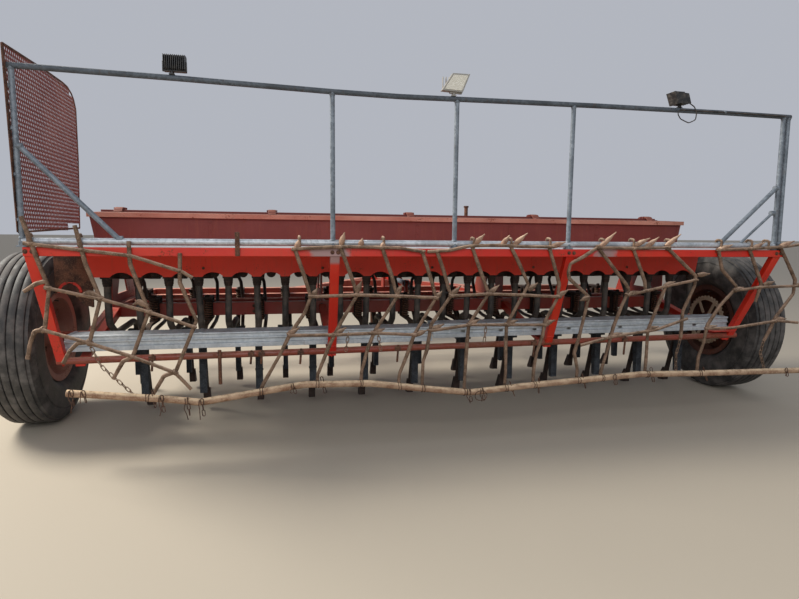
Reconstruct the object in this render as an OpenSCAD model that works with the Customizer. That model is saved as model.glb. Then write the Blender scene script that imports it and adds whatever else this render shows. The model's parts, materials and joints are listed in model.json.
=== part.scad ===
// Trailed combine seed drill, 24 rows, parked on its wheels and drawbar jack.
// X runs across the machine, +Y forward to the hitch, +Z up, the ground is z = 0.
// Places are given from the wheel axle (y = 0); put() moves the whole to its origin.

/* [Rows] */
// Number of sown rows
rows = 24; // [12:2:26]
// Distance from row to row
row_pitch = 178; // [165:1:200]
// Outer row to the end of the grain box
box_end = 203; // [190:1:260]

/* [Wheels] */
// Outer diameter of a tyre
tyre_d = 1080; // [1020:5:1120]
// Width of a tyre
tyre_w = 280; // [220:5:300]
// Diameter of the rim's bead seat
rim_d = 508; // [450:2:560]
// Hub height above the ground less the tyre's squash
axle_drop = 0; // [0:1:10]
// Gap from the end of the grain box to the tyre
wheel_gap = 110; // [100:5:160]

/* [Frame] */
// Height of the frame beams
beam_h = 90; // [70:5:100]
// Depth of the frame beams, front to back
beam_t = 75; // [60:5:90]
// Underside of the frame above the ground
frame_z = 620; // [600:5:640]
// Rear tine beam, forward of the axle
rear_beam_y = 280; // [260:5:300]
// Front tine beam, forward of the axle
front_beam_y = 860; // [845:5:900]
// Leading beam, forward of the axle
lead_beam_y = 1380; // [1320:10:1450]
// Hitch pin, forward of the axle
hitch_y = 2850; // [2600:10:3000]
// Bore of the hitch eye
hitch_bore = 32; // [25:1:40]

/* [Grain box] */
// Rear wall of the box, forward of the axle
box_y = 190; // [170:5:210]
// Depth of the box, front to back
box_depth = 620; // [600:10:640]
// Top rim of the box above the ground
rim_z = 1305; // [1270:5:1340]
// Underside of the troughs above the ground
trough_z = 965; // [950:5:980]
// Rise of the lids from rim to ridge
lid_rise = 62; // [40:2:80]
// Sheet thickness of box and lids
sheet = 4; // [3:0.5:6]

/* [Walkway and rail] */
// Rear face of the walkway beam, behind the axle
walk_y = -800; // [-840:5:-780]
// Top of the walkway beam above the ground
walk_z = 1105; // [1080:5:1120]
// Top rail above the ground
rail_z = 1972; // [1850:1:2100]
// Outer diameter of the rail pipes
rail_d = 34; // [27:1:42]

/* [Harrow] */
// Thickness of the harrow bars
bar_d = 17; // [12:1:20]
// Outer diameter of the drag bar
drag_d = 33; // [27:1:40]

/* [Hidden] */

$fn = 48;
// Clearance between pieces that only lie near each other
seat = 0.3;
// Cutters reach this far past what they cut
cut = 1;

// Rows
row_half = (rows - 1) * row_pitch / 2;
box_half = row_half + box_end;
function row_x(i) = (i - (rows - 1) / 2) * row_pitch;

// Wheels
wheel_x = box_half + wheel_gap + tyre_w / 2;
axle_z = tyre_d / 2 - axle_drop;
rim_flange_d = rim_d + 66;

// Frame
frame_half = box_half - 80;
beam_z = frame_z + beam_h / 2;
end_beam_w = 80;
inner_rail_x = row_pitch * 4;
inner_rail_w = 60;

// Lift: the rockshaft turns in the frame and carries the stub axles on its arms
shaft_y = front_beam_y - 260;
shaft_z = beam_z;
shaft_d = 76;
arm_t = 36;
arm_x = frame_half + 8 + arm_t / 2;
stub_d = 60;
lever_r = 150;
lever_lean = 15;
eye_y = shaft_y - lever_r * sin(lever_lean);
ram_y = lead_beam_y - 40;
ram_z = shaft_z + lever_r * cos(lever_lean);
ram_pin_d = 22;
eye_play = 3.5;

// The whole part's centre lies over the origin
rear_reach = walk_y - 100;
front_reach = hitch_y + 62;
axle_y = -(rear_reach + front_reach) / 2;

// Colours as they show in the photograph
RED = "#B8281A";
MAROON = "#7A3A35";
GALV = "#B4B8BC";
RUST = "#7A5442";
RUBBER = "#2B2B2D";

module put() translate([0, axle_y, 0]) children();

// A box given by its lowest and highest corners
module block(a, b) translate(a) cube(b - a);

// A plate or bar whose outline lies in the Y-Z plane, from x = x0, w wide
module side_plate(x0, w, pts) translate([x0, 0, 0]) rotate([90, 0, 90]) linear_extrude(w) polygon(pts);

// A round bar along X
module x_bar(x0, x1, y, z, d) translate([x0, y, z]) rotate([0, 90, 0]) cylinder(h = x1 - x0, d = d);

function unit(v) = v / norm(v);
function along(p, i) = unit((i < len(p) - 1 ? unit(p[i + 1] - p[i]) : [0, 0, 0])
                          + (i > 0 ? unit(p[i] - p[i - 1]) : [0, 0, 0]));

// A bent bar of n sides through the points p; side lies across its flat
module rod(p, d, n = 6, side = [0, 1, 0]) {
    rings = [for (i = [0:len(p) - 1]) let (t = along(p, i), a = unit(cross(side, t)), b = cross(t, a))
             for (k = [0:n - 1]) p[i] + d / 2 * (cos(360 * k / n) * a + sin(360 * k / n) * b)];
    last = len(p) - 1;
    faces = concat([[for (k = [0:n - 1]) k]],
                   [[for (k = [n - 1:-1:0]) last * n + k]],
                   [for (i = [0:last - 1], k = [0:n - 1]) let (m = (k + 1) % n)
                    [i * n + m, i * n + k, (i + 1) * n + k, (i + 1) * n + m]]);
    polyhedron(rings, faces, convexity = 6);
}

// Frame: two ends, three cross beams, two inner rails and the shaft's bearings
module main_frame() put() color(RUST) {
    inner = frame_half - end_beam_w;
    difference() {
        union() {
            for (y = [rear_beam_y, front_beam_y, lead_beam_y])
                block([-frame_half, y - beam_t / 2, frame_z], [frame_half, y + beam_t / 2, frame_z + beam_h]);
            for (s = [-1, 1]) {
                block([min(s * frame_half, s * inner), rear_beam_y, frame_z],
                      [max(s * frame_half, s * inner), lead_beam_y, frame_z + beam_h]);
                block([s * inner_rail_x - inner_rail_w / 2, rear_beam_y, frame_z],
                      [s * inner_rail_x + inner_rail_w / 2, lead_beam_y, frame_z + beam_h]);
            }
            x_bar(-58, 58, ram_y, ram_z, ram_pin_d);
            for (s = [-1, 1]) side_plate(s * 50 - 8, 16,
                [[lead_beam_y - beam_t / 2 - 60, frame_z + beam_h], [lead_beam_y + beam_t / 2, frame_z + beam_h],
                 [ram_y + 40, ram_z + 30], [ram_y - 40, ram_z + 30]]);
        }
        x_bar(-frame_half - cut, frame_half + cut, shaft_y, shaft_z, shaft_d + 2);
    }
}

// Drawbar: two converging legs, a cross tie and the hitch tongue with its eye
tongue_w = 100;
leg_foot_x = 900;
module drawbar() put() color(RUST) {
    y0 = lead_beam_y + beam_t / 2;
    y1 = hitch_y - 250;
    difference() {
        union() {
            for (s = [-1, 1]) translate([0, 0, frame_z]) linear_extrude(beam_h)
                polygon([[s * leg_foot_x, y0], [s * (leg_foot_x - 105), y0], [s * 5, y1 - 40], [s * 5, y1], [s * 62, y1]]);
            block([-tongue_w / 2, y1 - 200, frame_z], [tongue_w / 2, y1 + 30, frame_z + beam_h]);
            block([-tongue_w / 2, y1 - 160, hitch_z - 15], [tongue_w / 2, y1 + 30, frame_z]);
            block([-tongue_w / 2, y1, hitch_z - 15], [tongue_w / 2, hitch_y, hitch_z + 15]);
            translate([0, hitch_y, hitch_z - 15]) cylinder(h = 30, d = 120);
        }
        translate([0, hitch_y, hitch_z - 15 - cut]) cylinder(h = 30 + 2 * cut, d = hitch_bore);
    }
    block([-430, tie_y - 60, frame_z], [430, tie_y, frame_z + beam_h]);
}
hitch_z = 480;
tie_y = lead_beam_y + 820;

// Jack: a sleeve on the cross tie with a crank on top, and the leg that slides in it
jack_w = 70;
jack_wall = 6;
jack_y = tie_y + seat + jack_w / 2;
jack_z0 = 470;
jack_z1 = 1060;
module jack_sleeve() put() color(RED) {
    r = jack_w / 2;
    i = r - jack_wall;
    difference() {
        block([-r, jack_y - r, jack_z0], [r, jack_y + r, jack_z1]);
        block([-i, jack_y - i, jack_z0 - cut], [i, jack_y + i, jack_z1 - 20]);
    }
    block([-90, tie_y + seat, frame_z + 15], [-r, tie_y + seat + 10, frame_z + beam_h - 15]);
    block([r, tie_y + seat, frame_z + 15], [90, tie_y + seat + 10, frame_z + beam_h - 15]);
    translate([0, jack_y, jack_z1]) cylinder(h = 30, d = 24);
    block([-8, jack_y - 8, jack_z1 + 30], [160, jack_y + 8, jack_z1 + 42]);
    translate([150, jack_y, jack_z1 + 42]) cylinder(h = 90, d = 24);
}
module jack_leg() put() color(GALV) {
    r = jack_w / 2 - jack_wall - seat;
    block([-r, jack_y - r, 12], [r, jack_y + r, 730]);
    translate([0, jack_y, 0]) cylinder(h = 12, d = 200);
}

// Grain box: one folded shell with two troughs, a division and gabled ends
ridge_y = box_y + box_depth / 2;
trough_w = 90;
knee_z = rim_z - 175;
saddle_z = trough_z + 115;
function trough(y0, y1, t) = let (m = (y0 + y1) / 2) [
    [y0 + t, knee_z], [m - trough_w / 2 + t, trough_z + t], [m + trough_w / 2 - t, trough_z + t]];
module hopper_outline() polygon(concat(
    [[box_y, rim_z]], trough(box_y, ridge_y, 0), [[ridge_y, saddle_z]],
    trough(ridge_y, box_y + box_depth, 0), [[box_y + box_depth, knee_z], [box_y + box_depth, rim_z],
    [ridge_y + 30, rim_z + lid_rise - 8], [ridge_y - 30, rim_z + lid_rise - 8]]));
module hopper() put() color(MAROON) {
    top = rim_z + lid_rise + cut;
    end = box_y + box_depth;
    difference() {
        translate([-box_half, 0, 0]) rotate([90, 0, 90]) linear_extrude(2 * box_half) hopper_outline();
        side_plate(-box_half + sheet, 2 * (box_half - sheet), concat([[box_y + sheet, top]],
            trough(box_y, ridge_y, sheet), [[ridge_y - sheet / 2, saddle_z + sheet], [ridge_y - sheet / 2, top]]));
        side_plate(-box_half + sheet, 2 * (box_half - sheet), concat([[ridge_y + sheet / 2, top],
            [ridge_y + sheet / 2, saddle_z + sheet]], trough_front(sheet), [[end - sheet, knee_z], [end - sheet, top]]));
    }
    for (y = [box_y - rim_flange, end - sheet])
        block([-box_half, y, rim_z - 12], [box_half, y + rim_flange + sheet, rim_z]);
}
function trough_front(t) = let (y0 = ridge_y, y1 = box_y + box_depth, m = (y0 + y1) / 2)
    [[m - trough_w / 2 + t, trough_z + t], [m + trough_w / 2 - t, trough_z + t]];

// Hinge strip along the ridge, with a pin line for each lid
hinge_gap = 34;
hinge_z = rim_z + lid_rise + 8;
pin_d = 10;
rim_flange = 14;
lid_lip = 22;
function hinge_x(i) = (i - 2) * (box_half - 120) / 2;
module ridge_strip() put() color(MAROON) {
    block([-box_half, ridge_y - 30, rim_z + lid_rise - 8 + seat], [box_half, ridge_y + 30, rim_z + lid_rise - 4]);
    for (s = [-1, 1], i = [0:4]) {
        y = ridge_y + s * hinge_gap / 2;
        for (e = [-1, 1]) block([hinge_x(i) + e * 35 - 4, y - 8, rim_z + lid_rise - 4],
                                [hinge_x(i) + e * 35 + 4, y + 8, hinge_z + 8]);
        x_bar(hinge_x(i) - 39, hinge_x(i) + 39, y, hinge_z, pin_d);
    }
}

// A lid: a sloping sheet with a turned-down front edge and eyes on the pin line; s = -1 rear, 1 front
module lid(s) {
    y0 = ridge_y + s * (hinge_gap / 2 + 12);
    y1 = ridge_y + s * (box_depth / 2 + lid_lip);
    z0 = hinge_z - 4;
    share = (lid_lip - rim_flange) / abs(y1 - y0);
    z1 = (rim_z + seat - share * z0) / (1 - share);
    pts = [[y0, z0], [y0, z0 + sheet], [y1, z1 + sheet], [y1 + s * sheet, z1 + sheet], [y1 + s * sheet, z1 - 26],
           [y1, z1 - 26], [y1, z1]];
    side_plate(-box_half - 6, 2 * (box_half + 6), pts);
    for (i = [0:4]) difference() {
        union() {
            x_bar(hinge_x(i) - 28, hinge_x(i) + 28, ridge_y + s * hinge_gap / 2, hinge_z, 20);
            block([hinge_x(i) - 28, min(ridge_y + s * hinge_gap / 2, y0 + s * 2), z0],
                  [hinge_x(i) + 28, max(ridge_y + s * hinge_gap / 2, y0 + s * 2), z0 + sheet]);
        }
        x_bar(hinge_x(i) - 30, hinge_x(i) + 30, ridge_y + s * hinge_gap / 2, hinge_z, pin_d + 0.6);
    }
}
module lid_rear() put() color(MAROON) lid(-1);
module lid_front() put() color(MAROON) lid(1);

// Stands that carry the box on the frame, at the ends and over the inner rails
module box_stands() put() color(RUST) {
    top_y0 = box_y + 60;
    for (x = [-frame_half + 20, -row_pitch * 4 - 5, row_pitch * 4 - 5, frame_half - 30]) difference() {
        side_plate(x, 10, [[rear_beam_y - beam_t / 2, frame_z + beam_h + seat], [front_beam_y + beam_t / 2, frame_z + beam_h + seat],
            [box_y + box_depth - 60, knee_z - 90], [ridge_y + 90, trough_z + 60], [ridge_y + trough_w, trough_z - seat],
            [ridge_y - trough_w, trough_z - seat], [top_y0, knee_z - 90]]);
        hopper_space();
        for (y = [seed_y, fert_y]) x_bar(x - cut, x + 12, y, feed_z, feed_d + 1);
        side_plate(x - cut, 12, [[ridge_y - 130, frame_z + beam_h + 60], [ridge_y + 130, frame_z + beam_h + 60],
            [ridge_y + 60, trough_z - 60], [ridge_y - 60, trough_z - 60]]);
    }
}
module hopper_space() side_plate(-box_half, 2 * box_half, concat([[box_y - seat, rim_z]],
    [[box_y - seat, knee_z]], [[(box_y + ridge_y) / 2 - trough_w / 2 - seat, trough_z - seat],
    [(box_y + ridge_y) / 2 + trough_w / 2 + seat, trough_z - seat], [ridge_y, saddle_z - seat],
    [(ridge_y + box_y + box_depth) / 2 - trough_w / 2 - seat, trough_z - seat],
    [(ridge_y + box_y + box_depth) / 2 + trough_w / 2 + seat, trough_z - seat],
    [box_y + box_depth + seat, knee_z], [box_y + box_depth + seat, rim_z]]));

// Scalloped cover over the seed meters, hung from the box
tube_y = -200;
tube_top = 920;
cover_z0 = 930;
cover_z1 = 1100;
scallop_r = 87;
scallop_rise = 29;
cover_half0 = row_half + 62;
cover_half1 = row_half + 210;
cover_y = tube_y - 30 - seat;
module meter_cover() put() color(RED) {
    difference() {
        translate([0, cover_y, 0]) rotate([90, 0, 0]) linear_extrude(sheet)
            polygon([[-cover_half0, cover_z0], [cover_half0, cover_z0], [cover_half1, cover_z1], [-cover_half1, cover_z1]]);
        for (i = [0:rows - 2]) translate([row_x(i) + row_pitch / 2, cover_y + cut, cover_z0 + scallop_rise - scallop_r])
            rotate([90, 0, 0]) cylinder(h = sheet + 2 * cut, r = scallop_r);
    }
    block([-cover_half1, cover_y - sheet, cover_z1 - sheet], [cover_half1, box_y - seat, cover_z1]);
}

// Seed meters: a cast housing under the rear trough with a chute back to each tube
meter_w = 64;
feed_d = 25;
feed_z = tube_top + 8;
cup_d = 58;
seed_y = (box_y + ridge_y) / 2;
fert_y = (ridge_y + box_y + box_depth) / 2;
module seed_meters() put() color(RUST) {
    for (i = [0:rows - 1]) difference() {
        union() {
            side_plate(row_x(i) - meter_w / 2, meter_w, [[seed_y + 45, trough_z - seat], [seed_y - 45, trough_z - seat],
                [seed_y - 80, trough_z - 20], [tube_y + 30, trough_z - 8], [tube_y - 30, trough_z - 20],
                [tube_y - 30, tube_top], [tube_y + 30, tube_top], [seed_y - 60, tube_top - 40], [seed_y + 45, tube_top - 20]]);
            translate([row_x(i), tube_y, tube_top - 18]) cylinder(h = 30, d = cup_d);
        }
        x_bar(row_x(i) - 40, row_x(i) + 40, seed_y, feed_z, feed_d + 2 * seat);
    }
}
module fertiliser_meters() put() color(RUST) {
    for (i = [0:rows - 1]) difference() {
        union() {
            side_plate(row_x(i) - meter_w / 2, meter_w, [[fert_y + 45, trough_z - seat], [fert_y - 45, trough_z - seat],
                [fert_y - 45, tube_top - 10], [fert_y - 20, tube_top - 30], [fert_y + 20, tube_top - 30], [fert_y + 45, tube_top - 10]]);
        }
        x_bar(row_x(i) - 40, row_x(i) + 40, fert_y, feed_z, feed_d + 2 * seat);
    }
}
module feed_shafts() put() color(GALV) {
    for (y = [seed_y, fert_y]) {
        x_bar(-box_half + 20, box_half - 20, y, feed_z, feed_d);
        for (s = [-1, 1]) x_bar(s * (row_half + 60) - 6, s * (row_half + 60) + 6, y, feed_z, 64);
    }
}

// Tubes: a rubber hose from each seed meter to its boot, and one from each fertiliser meter
boot_back = 320;
boot_top = 410;
function beam_of(i) = i % 2 == 1 ? rear_beam_y : front_beam_y;
function boot_y(i) = beam_of(i) - boot_back;
seed_tube_d = 46;
fert_tube_d = 26;
fert_side = 38;
hose_gap = 6;
front_pass = shaft_y + shaft_d / 2 + fert_tube_d / 2 + hose_gap;
rear_pass = shaft_y - shaft_d / 2 - 92;
module seed_tubes() put() color(RUBBER) {
    for (i = [0:rows - 1]) let (x = row_x(i), b = boot_y(i))
        rod([[x, tube_y, tube_top - 18 - seat], [x, tube_y, tube_top - 120], [x, tube_y + 10, frame_z], [x, tube_y + 60 + (b - tube_y) * 0.2, frame_z - 80],
             [x, b - 12, boot_top + 80], [x, b, boot_top + 40], [x, b, boot_top + seat]], seed_tube_d, 8, [1, 0, 0]);
}
module fertiliser_tubes() put() color(RUBBER) {
    for (i = [0:rows - 1]) let (x = row_x(i), e = x - sign(x) * fert_side, b = boot_y(i), r = i % 2 == 1)
        rod([[x, fert_y, tube_top - 30 - seat], [x, fert_y, tube_top - 52], [(x + e) / 2, fert_y, tube_top - 90],
             r ? [e, rear_pass, frame_z - 20] : [e, front_pass, frame_z], r ? [e, b + 160, boot_top + 60] : [e, b + 60, boot_top + 80],
             [e, b + 6, boot_top + 40], [e, b + 6, boot_top + seat]], fert_tube_d, 8, [1, 0, 0]);
}

// A tine: clamp on the beam, pressure spring, curved shank, point and the boot behind it
tine_w = 32;
tine_t = 18;
tine_r = 200;
tine_z = frame_z - 32;
point_z = 50;
module tine(x, yb) {
    cy = yb - 60;
    cz = tine_z - tine_r;
    // clamp plates and the strap over the beam
    block([x - 30, yb - beam_t / 2 - 14, frame_z - 24], [x + 30, yb + beam_t / 2 + 14, frame_z - seat]);
    for (s = [-1, 1]) block([x - 30, yb + s * (beam_t / 2 + 7 + seat) - 7, frame_z - 24],
                            [x + 30, yb + s * (beam_t / 2 + 7 + seat) + 7, frame_z + beam_h + 12]);
    block([x - 30, yb - beam_t / 2 - 14, frame_z + beam_h + seat], [x + 30, yb + beam_t / 2 + 14, frame_z + beam_h + 12]);
    // pressure spring standing on the strap
    translate([x, yb - 10, frame_z + beam_h + 12]) rotate_extrude($fn = 24)
        polygon(concat([[0, 0]], [for (k = [0:13]) [k % 2 == 0 ? 24 : 34, k * 8]], [[12, 112], [12, 128], [0, 128]]));
    // shank: level from the clamp, round the bow, then down to the point
    translate([x - tine_w / 2, 0, 0]) {
        block([0, cy, tine_z - tine_t / 2], [tine_w, yb + 40, tine_z + tine_t / 2 - 0]);
        translate([0, cy, cz]) rotate([90, 0, 90]) rotate_extrude(angle = 135, start = 90)
            translate([tine_r - tine_t / 2, 0]) square([tine_t, tine_w]);
        tip = [cy + tine_r * cos(225), cz + tine_r * sin(225)];
        translate([0, tip[0], tip[1]]) rotate([-45, 0, 0]) block([0, 0, -tine_t / 2], [tine_w, 190, tine_t / 2]);
    }
    block([x - tine_w / 2, yb - 20, tine_z], [x + tine_w / 2, yb + 20, frame_z - 20]);
}
module tine_foot(x, yb) {
    cy = yb - 60;
    cz = tine_z - tine_r;
    tip_y = cy + tine_r * cos(225) + 190 * cos(45);
    // point
    side_plate(x - 24, 48, [[tip_y - 60, point_z + 84], [tip_y - 40, point_z + 30], [tip_y + 40, point_z],
                            [tip_y + 36, point_z + 16], [tip_y - 20, point_z + 90]]);
    // boot with a wide mouth for both tubes, joined to the shank by a web
    b = yb - boot_back;
    side_plate(x - 53, 106, [[b - 26, boot_top], [b + 26, boot_top], [b + 26, boot_top - 34], [b - 26, boot_top - 34]]);
    side_plate(x - 20, 40, [[b - 20, boot_top - 30], [b + 20, boot_top - 30], [b + 170, point_z + 46], [b + 140, point_z + 20]]);
    side_plate(x - 5, 10, [[b + 60, 262], [b + 130, 236], [b + 170, 190], [b + 100, 190]]);
}
module tines_rear() put() color(RUST) for (i = [1:2:rows - 1]) union() { tine(row_x(i), rear_beam_y); tine_foot(row_x(i), rear_beam_y); }
module tines_front() put() color(RUST) for (i = [0:2:rows - 1]) union() { tine(row_x(i), front_beam_y); tine_foot(row_x(i), front_beam_y); }

// Rockshaft with its end arms, the stub axles and the lever for the ram
module rockshaft() put() color(RUST) {
    x_bar(-arm_x, arm_x, shaft_y, shaft_z, shaft_d);
    for (s = [-1, 1]) {
        difference() {
            union() {
                translate([s * arm_x - arm_t / 2, shaft_y, shaft_z]) rotate([0, 90, 0]) cylinder(h = arm_t, d = 150);
                translate([s * arm_x - arm_t / 2, 0, axle_z]) rotate([0, 90, 0]) cylinder(h = arm_t, d = 120);
                side_plate(s * arm_x - arm_t / 2, arm_t, [[0, axle_z + 58], [0, axle_z - 58], [shaft_y, shaft_z - 72], [shaft_y, shaft_z + 72]]);
            }
        }
        x_bar(min(s * arm_x, s * (wheel_x + 60)), max(s * arm_x, s * (wheel_x + 60)), 0, axle_z, stub_d);
    }
    side_plate(-10, 20, [[shaft_y - 45, shaft_z], [shaft_y + 45, shaft_z], [eye_y + 20, ram_z], [eye_y - 20, ram_z]]);
    x_bar(-10, 10, eye_y, ram_z, 44);
    x_bar(-30, 30, eye_y, ram_z, ram_pin_d);
}

// Tyre with plain round ribs, and the rim with its disc and hub
rib_n = 5;
module tyre(x) translate([x, 0, axle_z]) rotate([0, 90, 0]) rotate_extrude($fn = 96) {
    r = tyre_d / 2;
    h = tyre_w / 2;
    b = rim_d / 2 + seat;
    f = rim_flange_d / 2;
    w = rim_w / 2 - 16;
    tread = h - 34;
    pitch = 2 * tread / rib_n;
    difference() {
        polygon([[b, -w], [f + 2, -w - 6], [f + 12, -w - 18], [r - 140, -h], [r - 90, -h], [r - 22, -tread - 16], [r - 6, -tread],
                 [r, -tread * 0.4], [r, tread * 0.4], [r - 6, tread], [r - 22, tread + 16], [r - 90, h], [r - 140, h],
                 [f + 12, w + 18], [f + 2, w + 6], [b, w]]);
        for (k = [1:rib_n - 1]) translate([r - 14, -tread + k * pitch - 5]) square([30, 10]);
    }
}
rim_w = 220;
module rim(x, s) translate([x, 0, axle_z]) rotate([0, 90, 0]) {
    r = rim_d / 2;
    h = rim_w / 2;
    f = rim_flange_d / 2;
    rotate_extrude($fn = 96) union() {
        polygon([[f, -h], [f, -h + 8], [r, -h + 14], [r, h - 14], [f, h - 8], [f, h], [r - 8, h - 4], [r - 8, -h + 4]]);
        polygon([[46, s * 20 - 6], [r - 7, s * 20 - 6], [r - 7, s * 20 + 6], [46, s * 20 + 6]]);
    }
    difference() {
        translate([0, 0, -80]) cylinder(h = 160, d = 130);
        translate([0, 0, -80 - cut]) cylinder(h = 160 + 2 * cut, d = stub_d + 1);
    }
    difference() {
        translate([0, 0, s > 0 ? 60 : -100]) cylinder(h = 40, d = 100);
        translate([0, 0, s > 0 ? 60 - cut : -61]) cylinder(h = 22, d = stub_d + 1);
    }
}
module tyre_left() put() color(RUBBER) tyre(-wheel_x);
module tyre_right() put() color(RUBBER) tyre(wheel_x);
module rim_left() put() color("#B89A90") rim(-wheel_x, -1);
module rim_right() put() color("#B89A90") rim(wheel_x, 1);

// Ram: the barrel swings on the frame's lugs, the rod's eye sits loosely on the lever's pin
barrel_l = 430;
rod_d = 40;
module lift_barrel() put() color(RED) difference() {
    union() {
        x_bar(-40, 40, ram_y, ram_z, 60);
        translate([0, ram_y - 16, ram_z]) rotate([90, 0, 0]) cylinder(h = barrel_l, d = 80);
    }
    x_bar(-41, 41, ram_y, ram_z, ram_pin_d + 0.1);
    translate([0, ram_y - 60, ram_z]) rotate([90, 0, 0]) cylinder(h = barrel_l, d = rod_d + 0.1);
}
module lift_rod() put() color(GALV) difference() {
    union() {
        translate([0, eye_y + 46, ram_z]) rotate([-90, 0, 0]) cylinder(h = 464, d = rod_d);
        for (s = [-1, 1]) {
            x_bar(s * 19 - 6, s * 19 + 6, eye_y, ram_z, 48);
            block([s * 19 - 6, eye_y, ram_z - 24], [s * 19 + 6, eye_y + 60, ram_z + 24]);
        }
        block([-25, eye_y + 44, ram_z - 24], [25, eye_y + 62, ram_z + 24]);
    }
    x_bar(-27, 27, eye_y, ram_z, ram_pin_d + 2 * eye_play);
}

// Rear gantry: walkway beam, four struts, the lower bar and the arms to the frame
gantry_half = row_half + 180;
strut_w = 52;
strut_x = [-gantry_half + 26, -720, 720, gantry_half - 26];
low_y = -510;
low_z = 476;
low_d = 39;
module rear_gantry() put() color(RED) {
    block([-gantry_half, walk_y, walk_z - 45], [gantry_half, walk_y + 65, walk_z]);
    x_bar(-gantry_half, gantry_half, low_y, low_z, low_d);
    for (x = strut_x) {
        side_plate(x - strut_w / 2, strut_w, [[walk_y + 4, walk_z - 20], [walk_y + 46, walk_z - 20], [low_y + 18, low_z], [low_y - 18, low_z]]);
        ax = sign(x) * min(abs(x), frame_half - end_beam_w / 2);
        side_plate(ax - strut_w / 2, strut_w, [[low_y, low_z - 15], [low_y, low_z + 12], [rear_beam_y - beam_t / 2 - 10, frame_z + 70], [rear_beam_y - beam_t / 2 - seat, frame_z + 70],
            [rear_beam_y - beam_t / 2 - seat, frame_z + 10]]);
        block([x - strut_w / 2, plank_y - 80, plank_z - plank_h - 6], [x + strut_w / 2, plank_y + plank_t - 20, plank_z - plank_h]);
    }
}

// Walkway deck on joists, from the beam to the meter cover
joists = 10;
module walkway() put() color(GALV) {
    y0 = walk_y + 65 + seat;
    y1 = cover_y - sheet - seat;
    block([-gantry_half, y0, walk_z - 6], [gantry_half, y1, walk_z]);
    for (k = [0:joists - 1]) let (x = -gantry_half + 4 + k * (2 * gantry_half - 48) / (joists - 1))
        block([x, y0, walk_z - 45], [x + 40, y1, walk_z - 6]);
}

// Footboard: two ribbed galvanised planks end to end on the gantry's shelves
plank_y = -490;
plank_z = 635;
plank_t = 150;
plank_h = 92;
module plank(x0, x1) side_plate(x0, x1 - x0, [[plank_y, plank_z - plank_h + seat], [plank_y + 6, plank_z - plank_h + seat],
    [plank_y + 6, plank_z - 66], [plank_y + 12, plank_z - 62], [plank_y + 12, plank_z - 36], [plank_y + 6, plank_z - 32], [plank_y + 6, plank_z - 4],
    [plank_y + plank_t - 6, plank_z - 4], [plank_y + plank_t - 6, plank_z - plank_h + seat], [plank_y + plank_t, plank_z - plank_h + seat],
    [plank_y + plank_t, plank_z], [plank_y, plank_z], [plank_y, plank_z - 30], [plank_y + 6, plank_z - 34], [plank_y + 6, plank_z - 60], [plank_y, plank_z - 64]]);
module foot_board() put() color(GALV) {
    plank(-gantry_half + 40, 60);
    plank(64, gantry_half - 30);
}

// Guard rail: bottom and top rails, posts and braces of galvanised pipe
// [x of the post]
posts = [-gantry_half + 20, -722, -36, 685, gantry_half - 20];
rail_foot_d = 40;
rail_y = walk_y + rail_foot_d / 2;
rail_base = walk_z + seat;
module pipe(a, b, d) translate(a) rotate([0, acos((b - a)[2] / norm(b - a)), atan2((b - a)[1], (b - a)[0])]) cylinder(h = norm(b - a), d = d);
module guard_rail() put() color(GALV) {
    x_bar(posts[0], posts[4], rail_y, rail_base + rail_foot_d / 2, rail_foot_d);
    x_bar(posts[0] - 20, posts[4] + 14, rail_y, rail_z, rail_d);
    for (x = posts) pipe([x, rail_y, rail_base + 20], [x, rail_y, rail_z], rail_d);
    pipe([posts[0], rail_y, 1620], [posts[0] + 430, rail_y, rail_base + 20], 27);
    pipe([posts[4], rail_y, 1520], [posts[4] - 390, rail_y, rail_base + 20], 27);
}

// End guard: a panel of expanded mesh in a pipe edge, its top front corner rounded off
guard_top = rail_z + 100;
guard_front = -130;
guard_t = 6;
module end_guard() put() color("#7B4038") {
    side_plate(posts[0] - guard_t / 2, guard_t, [[walk_y + 60, walk_z + seat], [guard_front, walk_z + seat], [guard_front, rail_z - 92],
        [guard_front - 50, rail_z - 22], [walk_y + 280, guard_top], [walk_y + 60, guard_top]]);
}

// Work lamps on the top rail: [x, turn about the pipe's upright, lamp width]
module lamp(x, turn) translate([x, rail_y, rail_z + rail_d / 2 + seat]) rotate([0, 0, turn]) {
    cylinder(h = 26, d = 16);
    block([-50, -8, 22], [50, 8, 28]);
    for (s = [-1, 1]) block([s * 50 - 3, -8, 22], [s * 50 + 3, 8, 80]);
    translate([0, 0, 70]) rotate([14, 0, 0]) {
        block([-46, -30, -42], [46, 26, 42]);
    }
}
module lamp_left() put() color("#202020") lamp(-1500, 180);
module lamp_middle() put() color("#8A8A86") lamp(-40, 0);
module lamp_right() put() color("#202020") lamp(1380, 70);

// Sheet guard between the left wheel and the box, arched over the hub
module wheel_guard() put() color(RUST) difference() {
    block([-box_half - 70, -166, 790], [-box_half + 160, -160, cover_z1 - sheet - seat]);
    translate([-box_half + 50, -150, 790]) rotate([90, 0, 0]) cylinder(h = 30, r = 70);
}

// Capped pipe stub that stands in front of the box
module pipe_stub() put() color(RUST) {
    x = 606;
    y = box_y + box_depth + 60;
    top = rim_z + 145;
    translate([x, y, top - 450]) cylinder(h = 450, d = 32);
    translate([x, y, top]) cylinder(h = 14, d = 44);
    block([x - 20, box_y + box_depth + seat, rim_z - 155], [x + 20, y, rim_z - 135]);
}

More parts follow.
